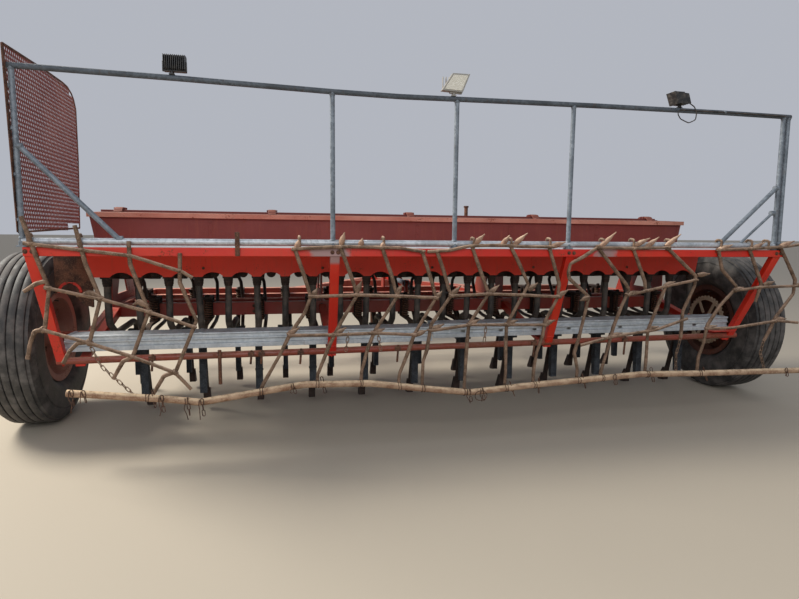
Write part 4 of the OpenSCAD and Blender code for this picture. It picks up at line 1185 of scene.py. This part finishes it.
class DRILL_OT_tines(bpy.types.Operator):
    """Spring tines with clamps, coil springs, toes and boots"""
    bl_idname = "drill.tines"
    bl_label = "Tines"

    def execute(self, context):
        spring = {"Radius": 0.0245, "Wire": 0.0048, "Turns": 8.5, "Height": 0.142}
        for node, first, beam, width in (("tines_rear", 1, REAR_BEAM, 46), ("tines_front", 0, FRONT_BEAM, 36)):
            rng = random.Random(first)
            xs = [row_mm(i) for i in range(first, sizes().rows, 2)]
            b = body(node)
            at = [(x, beam, 0, (0, 0, rng.uniform(-0.6, 0.6))) for x in xs]
            round_edges(scatter(node + "_steel", loose("tine_unit", tine_steel), at, "cast", b, node), 0.0012)
            unit = loose("boot_unit_%d" % width, boot(width))
            round_edges(scatter(node + "_boots", unit, [(x, beam, 0) for x in xs], "boot", b), 0.0012)
            feet = points_mesh("spring_feet", [(x, beam - 95, FRAME_Z - 20) for x in xs])
            grow(node + "_springs", feet, coil_tree(), spring, "rust", b)
        return {"FINISHED"}


def tyre_profile(half, r):
    """Half-width and radius of a ribbed implement tyre to its closed section of (x, radius) points."""
    tread = half - 30
    ribs = 5
    step = 2 * tread / ribs
    wall = [(-92, 255), (-100, 292), (-half + 12, 318), (-half + 6, 326), (-half + 4, 360), (-half, 400), (-half, 452),
            (-half + 5, 456), (-half + 5, 462), (-half, 466), (-half + 2, r - 62), (-half + 12, r - 38),
            (-tread - 14, r - 22)]

    def crown(x):
        return r - 5 * (x / tread) ** 2 - 1

    pts = list(wall)
    for k in range(ribs):
        a, b = -tread + k * step, -tread + (k + 1) * step
        mid = (a + b) / 2
        pts += [(a + 2.5, crown(a) - 13), (a + 4, crown(a) - 3), (a + 9, crown(a)), (mid, crown(mid)),
                (b - 9, crown(b)), (b - 4, crown(b) - 3), (b - 2.5, crown(b) - 13)]
    return pts + [(-a, q) for a, q in reversed(wall)]


def ring_gear(x, z):
    """Ring gear of the metering drive, on the right wheel's inner side."""
    gear = Solid()
    teeth, bore, tip, root, width = 36, 160, 196, 184, 12
    unit = around(1, 4 * teeth)
    radii = [tip if k % 4 in (1, 2) else root for k in range(4 * teeth)]
    outer = [(r * a, r * c) for r, (a, c) in zip(radii, unit)]
    gear.washer(x, width, z, outer, [(bore * a, bore * c) for a, c in unit])
    middle = x + width / 2
    for a, c in around(1, 6):
        gear.bar((middle, 60 * a, z + 60 * c), (middle, 166 * a, z + 166 * c), 8, 22)
    gear.piece("ring_gear", "cream", body("rim_right"), bevel=0)


class DRILL_OT_wheels(bpy.types.Operator):
    """Ribbed implement tyres on dished steel rims with their hubs and studs"""
    bl_idname = "drill.wheels"
    bl_label = "Wheels"

    def execute(self, context):
        dish, stud_ring, studs = 20, 108, 8
        # the right rim takes the darker copy of the rim enamel: painted shade on the wheel's inner side
        for side, s, paint in (("left", -1, "rim"), ("right", 1, "rim_in_painted_shade")):
            rim = body("rim_" + side)
            lo, hi = [(c - put(0, 0, 0)) * 1000 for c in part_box("tyre_" + side)]
            x, z = (lo.x + hi.x) / 2, (lo.z + hi.z) / 2
            t = Solid()
            t.lathe((x, 0, z), tyre_profile((hi.x - lo.x) / 2, (hi.z - lo.z) / 2), 160)
            t.piece("tyre_" + side + "_ribbed", "tyre", body("tyre_" + side), "tyre_" + side, bevel=0)
            dress("rim_" + side, paint)
            hub = Solid()
            for e in (-1, 1):
                flange = [(0, 66), (0, 128), (e * 5, 124), (e * 12, 92), (e * 14, 66)]
                hub.lathe((x + s * dish + e * 6, 0, z), flange, 48)
            hub.piece("hub_" + side, "rust", rim)
            for e, facing in ((-1, "-x"), (1, "+x")):
                at = [(x + s * dish + e * 9, c, z + d, facing) for c, d in around(stud_ring, studs, 0.5)]
                bolts("studs_%s_%s" % (side, "in" if e * s < 0 else "out"), at, "rust", rim, 1.1)
            if side == "right":
                ring_gear(x - 118, z)
            v = Solid()
            v.disc((x - s * 60, 0, z + 236), (x - s * 108, 0, z + 226), 9, 8)
            v.piece("valve_" + side, "hose", rim, bevel=0)
        return {"FINISHED"}


def punch(o, cutter):
    """Cuts the cutter's form out of a piece and keeps the result as its mesh."""
    c = bpy.data.objects.new("cutter", cutter.mesh("cutter"))
    bpy.context.scene.collection.objects.link(c)
    mod = o.modifiers.new("holes", "BOOLEAN")
    mod.operation, mod.solver, mod.object = "DIFFERENCE", "EXACT", c
    bpy.context.view_layer.update()
    o.data = bpy.data.meshes.new_from_object(o.evaluated_get(bpy.context.evaluated_depsgraph_get()))
    o.modifiers.remove(mod)
    bpy.data.objects.remove(c)


class DRILL_OT_gantry(bpy.types.Operator):
    """Walkway beam, struts, lower bar, arms, deck and the two planks"""
    bl_idname = "drill.gantry"
    bl_label = "Gantry"

    def execute(self, context):
        half, beam_h, beam_t = ROW_HALF + 211, 45, 65
        b = body("rear_gantry")
        s = Solid()
        s.block((-half, WALK_Y, WALK_Z - beam_h), (half, WALK_Y + beam_t, WALK_Z))
        for top, foot, plank in STRUTS:
            z, shelf = lookup(foot, LOW_ENDS), plank - 92
            s.bar((top, WALK_Y + 26, WALK_Z - 36), (foot, LOW_Y, z), 52, (40, 36))
            # arm forward to the frame, shelf under the plank and its gusset
            arm = math.copysign(min(abs(foot), 2120), foot)
            s.prism_x(arm - 26, 52, [(LOW_Y, z - 34), (LOW_Y, z - 14), (232, 690), (242.2, 690), (242.2, 630)])
            s.block((foot - (160 if foot > 2000 else 26), -552, shelf - 6), (foot + 26, -360, shelf))
            s.prism_x(foot - 4, 8, [(-548, shelf - 6), (-372, shelf - 6), (-480, shelf - 78), (-505, shelf - 78)])
        s.piece("gantry_steel", "gantry", b, "rear_gantry", bevel=0.003)
        s = Solid()
        ends = [(x, LOW_Y, z) for x, z in LOW_ENDS]
        s.disc(*ends, 40, 20)
        s.piece("gantry_low_bar", "low", b, bevel=0)
        # rusty peg on the beam, and rods clipped to the lower bar, each (x, lower end above the usual place)
        s = Solid()
        s.block((-1242, WALK_Y - 14, WALK_Z - 43), (-1218, WALK_Y + 0.5, WALK_Z + 84))
        s.disc((-1365, LOW_Y - 22, 316), (-1365, LOW_Y - 22, 521), 22, 10)
        for x, up in ((-1740, 0), (-1190, 20), (-1130, 20), (-900, 10), (-300, 0), (620, 0), (1290, -10)):
            z = lookup(x, LOW_ENDS)
            s.disc((x, LOW_Y - 24, 410 + up), (x + 8, LOW_Y - 24, z + 26), 14, 8)
            s.block((x - 14, LOW_Y - 31, z - 12), (x + 22, LOW_Y - 10, z + 14))
        s.piece("gantry_pegs", "rust", b)
        at = []
        for top, foot, _ in STRUTS:
            at += [(top + dx, WALK_Y, WALK_Z - 22, "-y", 0.9) for dx in (-16, 16)]
            at += [(foot + dx, LOW_Y - 20, lookup(foot, LOW_ENDS) + 40, "-y", 0.8) for dx in (-12, 12)]
        bolts("gantry_bolts", at, "rust", b)

        # deck of thin sheet on joists
        s = Solid()
        right, deck, joists, joist_w = 2185, 6, 10, 40
        y0, y1 = WALK_Y + beam_t + 0.3, TUBE_Y - 35
        s.block((-half, y0, WALK_Z - deck), (right, y1, WALK_Z))
        for k in range(joists):
            x = -half + 4 + k * (half + right - joist_w - 8) / (joists - 1)
            s.block((x, y0, WALK_Z - beam_h), (x + joist_w, y1, WALK_Z - deck))
        s.piece("walkway_deck", "plank", body("walkway"), "walkway")

        # roll-formed planks: a ribbed rear face under a rolled lip, holes stamped along the right one
        rear, depth, low = -490, 150, -91.7
        inner = [(5, low), (5, -69), (14, -64), (14, -44), (5, -39), (5, -34), (12, -30), (12, -12), (5, -8),
                 (5, -5), (depth - 6, -5), (depth - 6, low)]
        outer = [(depth, low), (depth, -4), (depth - 4, 0), (3, 0), (0, -3), (0, -9), (8, -14), (8, -28),
                 (0, -33), (0, -41), (10, -46), (10, -62), (0, -67), (0, low)]
        section = inner + outer
        for side, x0, x1, top, holes in PLANKS:
            s = Solid()
            s.prism_x(x0, x1 - x0, [(rear + y, top + z) for y, z in section[-1:] + section[:-1]])
            mesh = s.mesh("plank_" + side, 30)
            o = to_object("plank_" + side, mesh, body("foot_board"), finishes()["plank"])
            if holes:
                cut = Solid()
                for x in holes:
                    turns = [math.pi * (k - 3.5) / 7.5 for k in range(16)]
                    cut.prism_y(rear - 4, 30, [(x + (9 if k < 8 else -9) + 7 * math.cos(a), top - 54 + 7 * math.sin(a))
                                               for k, a in enumerate(turns)])
                punch(o, cut)
            round_edges(o, 0.001)
            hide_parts("foot_board")
        s = Solid()
        for x in (-2190, -1480, -760, -90, -30, 700, 1420, 2110):
            top = PLANKS[0][3] if x < PLANKS[1][1] - 2 else PLANKS[1][3]
            s.block((x - 10, rear - 2, top - 0.5), (x + 10, rear + depth + 2, top + 2.5))
        s.piece("plank_straps", "plank", body("foot_board"), bevel=0.0008)
        return {"FINISHED"}


def rail_z(x):
    """Middle of the sagging top rail."""
    return RAIL_Z + lookup(x, SAG)


def diamond(s):
    """One opening of the expanded sheet: four strands 3 by 5.2 mm round a diamond 44 by 21 mm."""
    tips = [(0, 10.5 * c, 22 * d) for c, d in around(1, 4)]
    for a, b in zip(tips, tips[1:] + tips[:1]):
        s.bar(a, b, 3.0, 5.2)


class DRILL_OT_rail(bpy.types.Operator):
    """Guard rail of galvanised pipe with its feet, braces and clamps, and the mesh panel at its left end"""
    bl_idname = "drill.rail"
    bl_label = "Guard rail"

    def execute(self, context):
        b = body("guard_rail")
        foot = RAIL_FOOT + 12
        # feet and heads of the braces and of the thin rod, as (x, z)
        braces = [((-2249, 1616), (-1813, 1162)), ((2174, 1528), (1781, 1170))]
        rod = ((2160, 1367), (1932, 1171))
        lugs = ((-2249, 1616), (2174, 1528), (-1813, 1168), (1781, 1176), (2160, 1367))

        def pipes(name, lines, d, finish, *nodes, **shape):
            sweep(name, [[(x, RAIL_Y, z) for x, z in line] for line in lines], d, finish, b, *nodes, **shape)

        # the top rail takes the darker copy of the galvanising: painted shade
        pipes("rail_top", [[(x, rail_z(x)) for x, _ in SAG]], 29, "pipe", "guard_rail", sides=18, bend=60, step=30)
        # the foot pipe takes the lighter copy of the galvanising: painted highlights
        pipes("rail_foot", [[(POSTS[0][0], foot), (POSTS[4][0], foot)]], 35, "foot", sides=18, step=60)
        pipes("rail_posts", [[(a, foot), (c, rail_z(c))] for a, c in POSTS], 27, "zinc", sides=16, step=60)
        pipes("rail_braces", braces, 27, "zinc", sides=16, step=60)
        pipes("rail_rod", [rod], 17, "zinc", sides=12, step=60)
        s = Solid()
        for a, c in POSTS:
            s.block((a - 24, RAIL_Y - 18, WALK_Z + 0.3), (a + 24, RAIL_Y + 18, WALK_Z + 9))
            s.disc((a, RAIL_Y, WALK_Z + 9), (a, RAIL_Y, foot), 36, 18)
            # weld collars at foot and head
            s.disc((a, RAIL_Y, foot + 14), (a, RAIL_Y, foot + 22), 34, 18, 28)
            s.disc((c, RAIL_Y, rail_z(c) - 22), (c, RAIL_Y, rail_z(c) - 12), 28, 18, 34)
        for x, z in lugs:
            s.disc((x - 15, RAIL_Y, z), (x + 15, RAIL_Y, z), 32, 14)
        s.piece("rail_feet", "zinc", b, bevel=0.0008)

        # end guard of expanded sheet, slightly dished, hemmed by a flat edge
        pts = []
        for row in range(40):
            for col in range(48):
                y, z = -830 + col * 21, 1190 + row * 44
                reach = ((0, 0), (-7, 0), (7, 0), (0, 13), (0, -13))
                if all(inside(y + dy, z + dz, GUARD_OUTLINE) for dy, dz in reach):
                    pts.append((GUARD_X + 0.6 * math.sin(y / 90) + 1.2 * math.sin(z / 170), y, z))
        scatter("end_guard_strands", loose("diamond", diamond), pts, "guard", body("end_guard"), "end_guard")
        hem = Solid()
        for (y0, z0), (y1, z1) in zip(GUARD_OUTLINE, GUARD_OUTLINE[1:] + GUARD_OUTLINE[:1]):
            along_post = y0 < -700 and y1 < -700
            hem.bar((GUARD_X, y0, z0), (GUARD_X, y1, z1), 5, 26 if along_post else 11)
        hem.piece("end_guard_hem", "rust", body("end_guard"), bevel=0.0008)
        clamps = [(GUARD_X + 5, RAIL_Y - 4, z, "-y") for z in (1260, 1480, 1700, 1900)]
        bolts("end_guard_clamps", clamps, "zinc", body("end_guard"), 0.9)
        return {"FINISHED"}


class DRILL_OT_lamps(bpy.types.Operator):
    """Three work lamps on the top rail, the cable of the right one and its clip"""
    bl_idname = "drill.lamps"
    bl_label = "Lamps"

    def execute(self, context):
        def footed(x):
            """A new form with the lamp's bolted foot at x, and the top of the rail there."""
            s, z = Solid(), rail_z(x) + 14.8
            s.disc((x, RAIL_Y, z), (x, RAIL_Y, z + 20), 16, 12)
            s.block((x - 14, RAIL_Y - 12, z), (x + 14, RAIL_Y + 12, z + 5))
            s.disc((x, RAIL_Y, z + 5), (x, RAIL_Y, z + 12), 24, 6)
            return s, z

        # left: finned body in a yoke, seen from behind
        s, z = footed(-1532)
        s.block((-1576, RAIL_Y - 8, z + 16), (-1460, RAIL_Y + 8, z + 21))
        for x in (-1574, -1462):
            s.block((x - 3, RAIL_Y - 8, z + 16), (x + 3, RAIL_Y + 8, z + 66))
        s.block((-1572, RAIL_Y - 4, z + 20), (-1464, RAIL_Y + 36, z + 98))
        for k in range(12):
            s.block((-1570 + k * 9.2, RAIL_Y - 30, z + 24), (-1566 + k * 9.2, RAIL_Y, z + 94))
        s.piece("lamp_left_body", "lamp", body("lamp_left"), "lamp_left", bevel=0.0012)

        # middle: grey floodlight, its glass to the rear
        s, z = footed(-40)
        top = 2102
        s.prism_y(RAIL_Y - 20, 40, [(-112, z + 26), (8, z + 20), (50, top), (-51, top)])
        for k in range(6):
            s.block((-98 + k * 18, RAIL_Y + 20, z + 34 + k * 2), (-94 + k * 18, RAIL_Y + 34, top - 12))
        s.block((-64, RAIL_Y - 8, z + 14), (8, RAIL_Y + 8, z + 30))
        s.piece("lamp_middle_body", "lamp_grey", body("lamp_middle"), "lamp_middle", bevel=0.0014)
        g = Solid()
        g.prism_y(RAIL_Y - 23, 3, [(-98, z + 33), (2, z + 28), (38, top - 9), (-46, top - 9)])
        g.piece("lamp_middle_glass", "lens", body("lamp_middle"), bevel=0.0006)

        # right: black box turned to the side, with its hanging cable
        s, z = footed(1414)
        s.prism_y(RAIL_Y - 38, 76, [(1376, z + 20), (1438, z + 18), (1416, z + 88), (1350, z + 88)])
        for k in range(5):
            s.prism_y(RAIL_Y - 34 + k * 15.5, 5, [(1436, z + 22), (1470, z + 24), (1450, z + 82), (1416, z + 84)])
        s.prism_y(RAIL_Y - 42, 84, [(1374, z + 16), (1384, z + 16), (1356, z + 88), (1346, z + 88)])
        s.block((1396, RAIL_Y - 8, z + 14), (1424, RAIL_Y + 8, z + 24))
        s.piece("lamp_right_body", "lamp", body("lamp_right"), "lamp_right", bevel=0.0014)
        beside = RAIL_Y - 19.3
        loop = [(1440, 2035), (1500, 2002), (1517, 1967), (1513, 1925), (1465, 1904), (1407, 1925), (1383, 1956)]
        path = [(1430, RAIL_Y - 30, z + 46)] + [(a, RAIL_Y - 26, c) for a, c in loop]
        path += [(a, beside, rail_z(a)) for a in (1400, 1440, 1700, 2180)]
        sweep("lamp_cable", [path], 6.5, "hose", body("lamp_right"), sides=8, bend=22, step=8)
        clip = rail_z(1728) - 0.2
        c = Solid()
        c.disc((1722, beside, clip), (1734, beside, clip), 16, 10)
        c.piece("cable_clip", "zinc", body("lamp_right"), bevel=0)
        return {"FINISHED"}


def leaf_path(leaf):
    """A forged leaf along its bends: a waist at the root, a swelled blade and a point."""
    n = len(leaf) - 1
    path = []
    for k, ((x0, z0), (x1, z1)) in enumerate(zip(leaf, leaf[1:])):
        for q in (0, 0.2, 0.4, 0.6, 0.8):
            f = (k + q) / n
            thick = 1.0 + 0.75 * math.sin(math.pi * min(1, f * 1.25)) - 0.55 * f
            path.append((x0 + (x1 - x0) * q, HANG_Y - 4 * f, z0 + (z1 - z0) * q, thick))
    return path + [(leaf[-1][0], HANG_Y - 4, leaf[-1][1], 0.25)]


class DRILL_OT_harrow(bpy.types.Operator):
    """Forged harrow sections tied up on the rail, their links and chains, and the drag bar along their foot"""
    bl_idname = "drill.harrow"
    bl_label = "Harrow"

    def execute(self, context):
        rng = random.Random(11)
        forged = dict(sides=9, step=9, wobble=4.0)
        tip_z, hook_top, to_bar = 1150, RAIL_FOOT + 47, -4
        for seed, (node, part) in enumerate(HARROW.items()):
            b = body(node)
            paths = []
            for bar, runs in zip(part["bars"], part["on_drag_bar"]):
                p = [(x, HANG_Y, z, 1.0 + 0.12 * math.sin(k * 2.1)) for k, (x, z) in enumerate(bar)]
                if runs:
                    x = bar[-1][0] + to_bar
                    p.append((x, HANG_Y, lookup(x, DRAG_PATH) - 12, 0.95))
                paths.append(p)
            sweep(node + "_bars", paths, 21, "harrow", b, node, bend=16, lump=55, seed=seed * 3.0, **forged)
            flats = [[(x, HANG_Y - 10, z + rng.uniform(-2, 2)) for x, z in bar] for bar in part["level_bars"]]
            sweep(node + "_level_bars", flats, 19, "harrow", b, bend=14, lump=60, seed=seed * 3.0 + 1, **forged)
            # leaves that reach over the beam get a lighter copy of the harrow steel: painted sunlight
            leaves = [leaf_path(leaf) for leaf in part["leaves"]]
            for name, finish, high in (("_leaves", "harrow", False), ("_tips", "leaf", True)):
                kept = [p for p in leaves if (p[-1][2] > tip_z) == high]
                if kept:
                    sweep(node + name, kept, 22, finish, b, sides=8, bend=8, step=5, wobble=3.0, lump=60,
                          seed=seed * 3.0 + 2)
            hooks = [[(x, RAIL_Y + 18, hook_top - 12), (x, RAIL_Y + 8, hook_top), (x, HANG_Y - 3, hook_top - 4),
                      (x + 2, HANG_Y - 2, WALK_Z + 4)] for x in part["hooks"]]
            sweep(node + "_hooks", hooks, 15, "harrow", b, sides=8, bend=10, step=6, wobble=2.0, lump=60)
            # knuckles where the bars pass through the eyes of the level bars
            eyes = []
            lines = [line for level in part["level_bars"] for line in zip(level, level[1:])]
            for bar in part["bars"]:
                for a, c in zip(bar, bar[1:]):
                    for line in lines:
                        met = crossing(a, c, *line)
                        if met and all(-0.05 <= v <= 1.05 for v in met):
                            tilt = math.degrees(math.atan2(c[0] - a[0], c[1] - a[1]))
                            x, z = a[0] + met[0] * (c[0] - a[0]), a[1] + met[0] * (c[1] - a[1])
                            eyes.append((x, HANG_Y - 5, z, (rng.uniform(-8, 8), tilt, rng.uniform(-8, 8)),
                                         rng.uniform(0.9, 1.15)))
            scatter(node + "_knuckles", loose("knuckle", knuckle), eyes, "harrow", b)
            chains(node + "_chains", [[(x, HANG_Y, z) for x, z in c] for c in part["chains"]], "harrow", b)

        # drag bar, with the short chains and wire ties that hold the bars on it
        b = body("drag_bar")
        sweep("drag_pipe", [[(x, DRAG_Y, z) for x, z in DRAG_PATH]], 38, "drag", b, "drag_bar",
              sides=16, bend=120, step=14, wobble=4.5, lump=38)
        ties, hung = [], []
        half_turn = around(21, 10) + [(21, 0)]
        for part in HARROW.values():
            for bar, runs in zip(part["bars"], part["on_drag_bar"]):
                if not runs:
                    continue
                x = bar[-1][0] + to_bar
                z = lookup(x, DRAG_PATH)
                for dx in (-7, 7):
                    ties.append([(x + dx + rng.uniform(-3, 3), DRAG_Y + c, z + d) for c, d in half_turn])
                if rng.random() < 0.6:
                    hung.append([(x + 26, DRAG_Y - 4, z + 26), (x + 34 + rng.uniform(-10, 20), DRAG_Y - 8, z - 34)])
        # loose wire ends and links, each (x, how far it hangs)
        for x, drop in ((-2068, 70), (-2012, 40), (-1640, 85), (-1512, 95), (-1440, 88), (-960, 30), (60, 60),
                        (140, 55), (1010, 45), (2290, 30)):
            z = lookup(x, DRAG_PATH)
            ties.append([(x + rng.uniform(-18, 18) * k / 4, DRAG_Y - 20 - 2 * k, z + 20 - (drop + 20) * k / 4)
                         for k in range(5)])
            hung.append([(x + 14, DRAG_Y - 22, z + 8), (x + 20, DRAG_Y - 22, z - drop * 0.6)])
        coil = [2 * math.pi * k / 14 for k in range(16)]
        ties.append([(142 + 38 * math.cos(a), DRAG_Y - 22, 262 + 30 * math.sin(a)) for a in coil])
        ties.append([(-2050, DRAG_Y - 21, 372), (-2056, DRAG_Y - 21, 330), (-2064, DRAG_Y - 21, 282)])
        sweep("drag_ties", ties, 4.5, "wire", b, sides=6, bend=12, step=5, wobble=2.0, lump=80)
        chains("drag_chains", hung, "wire", b)
        return {"FINISHED"}


class DRILL_OT_tidy(bpy.types.Operator):
    """Takes away the loose units that the trees drew from"""
    bl_idname = "drill.tidy"
    bl_label = "Tidy"

    def execute(self, context):
        for o in PARTS.values():
            bpy.data.objects.remove(o)
        PARTS.clear()
        return {"FINISHED"}


class DRILL_PT_panel(bpy.types.Panel):
    """Lists the pieces in the order in which they are made"""
    bl_idname = "DRILL_PT_panel"
    bl_label = "Seed Drill"
    bl_space_type = "VIEW_3D"
    bl_region_type = "UI"
    bl_category = "Seed Drill"

    def draw(self, context):
        for name in ("rows", "row_pitch", "edge"):
            self.layout.prop(context.scene.drill_sizes, name)
        for name in ("red", "maroon", "zinc"):
            self.layout.prop(context.scene.drill_colours, name)
        for op in OPERATORS:
            self.layout.operator(op.bl_idname)


OPERATORS = (DRILL_OT_stage, DRILL_OT_frame, DRILL_OT_grain_box, DRILL_OT_meters, DRILL_OT_hoses, DRILL_OT_tines,
             DRILL_OT_wheels, DRILL_OT_gantry, DRILL_OT_rail, DRILL_OT_lamps, DRILL_OT_harrow, DRILL_OT_tidy)
CLASSES = (DrillSizes, DrillColours) + OPERATORS + (DRILL_PT_panel,)


def register():
    for c in CLASSES:
        bpy.utils.register_class(c)
    bpy.types.Scene.drill_sizes = bpy.props.PointerProperty(type=DrillSizes)
    bpy.types.Scene.drill_colours = bpy.props.PointerProperty(type=DrillColours)


def unregister():
    del bpy.types.Scene.drill_colours
    del bpy.types.Scene.drill_sizes
    for c in reversed(CLASSES):
        bpy.utils.unregister_class(c)


def main():
    register()
    bpy.ops.drill.stage()
    bpy.ops.drill.frame()
    bpy.ops.drill.grain_box()
    bpy.ops.drill.meters()
    bpy.ops.drill.hoses()
    bpy.ops.drill.tines()
    bpy.ops.drill.wheels()
    bpy.ops.drill.gantry()
    bpy.ops.drill.rail()
    bpy.ops.drill.lamps()
    bpy.ops.drill.harrow()
    bpy.ops.drill.tidy()


if __name__ == "__main__":
    main()
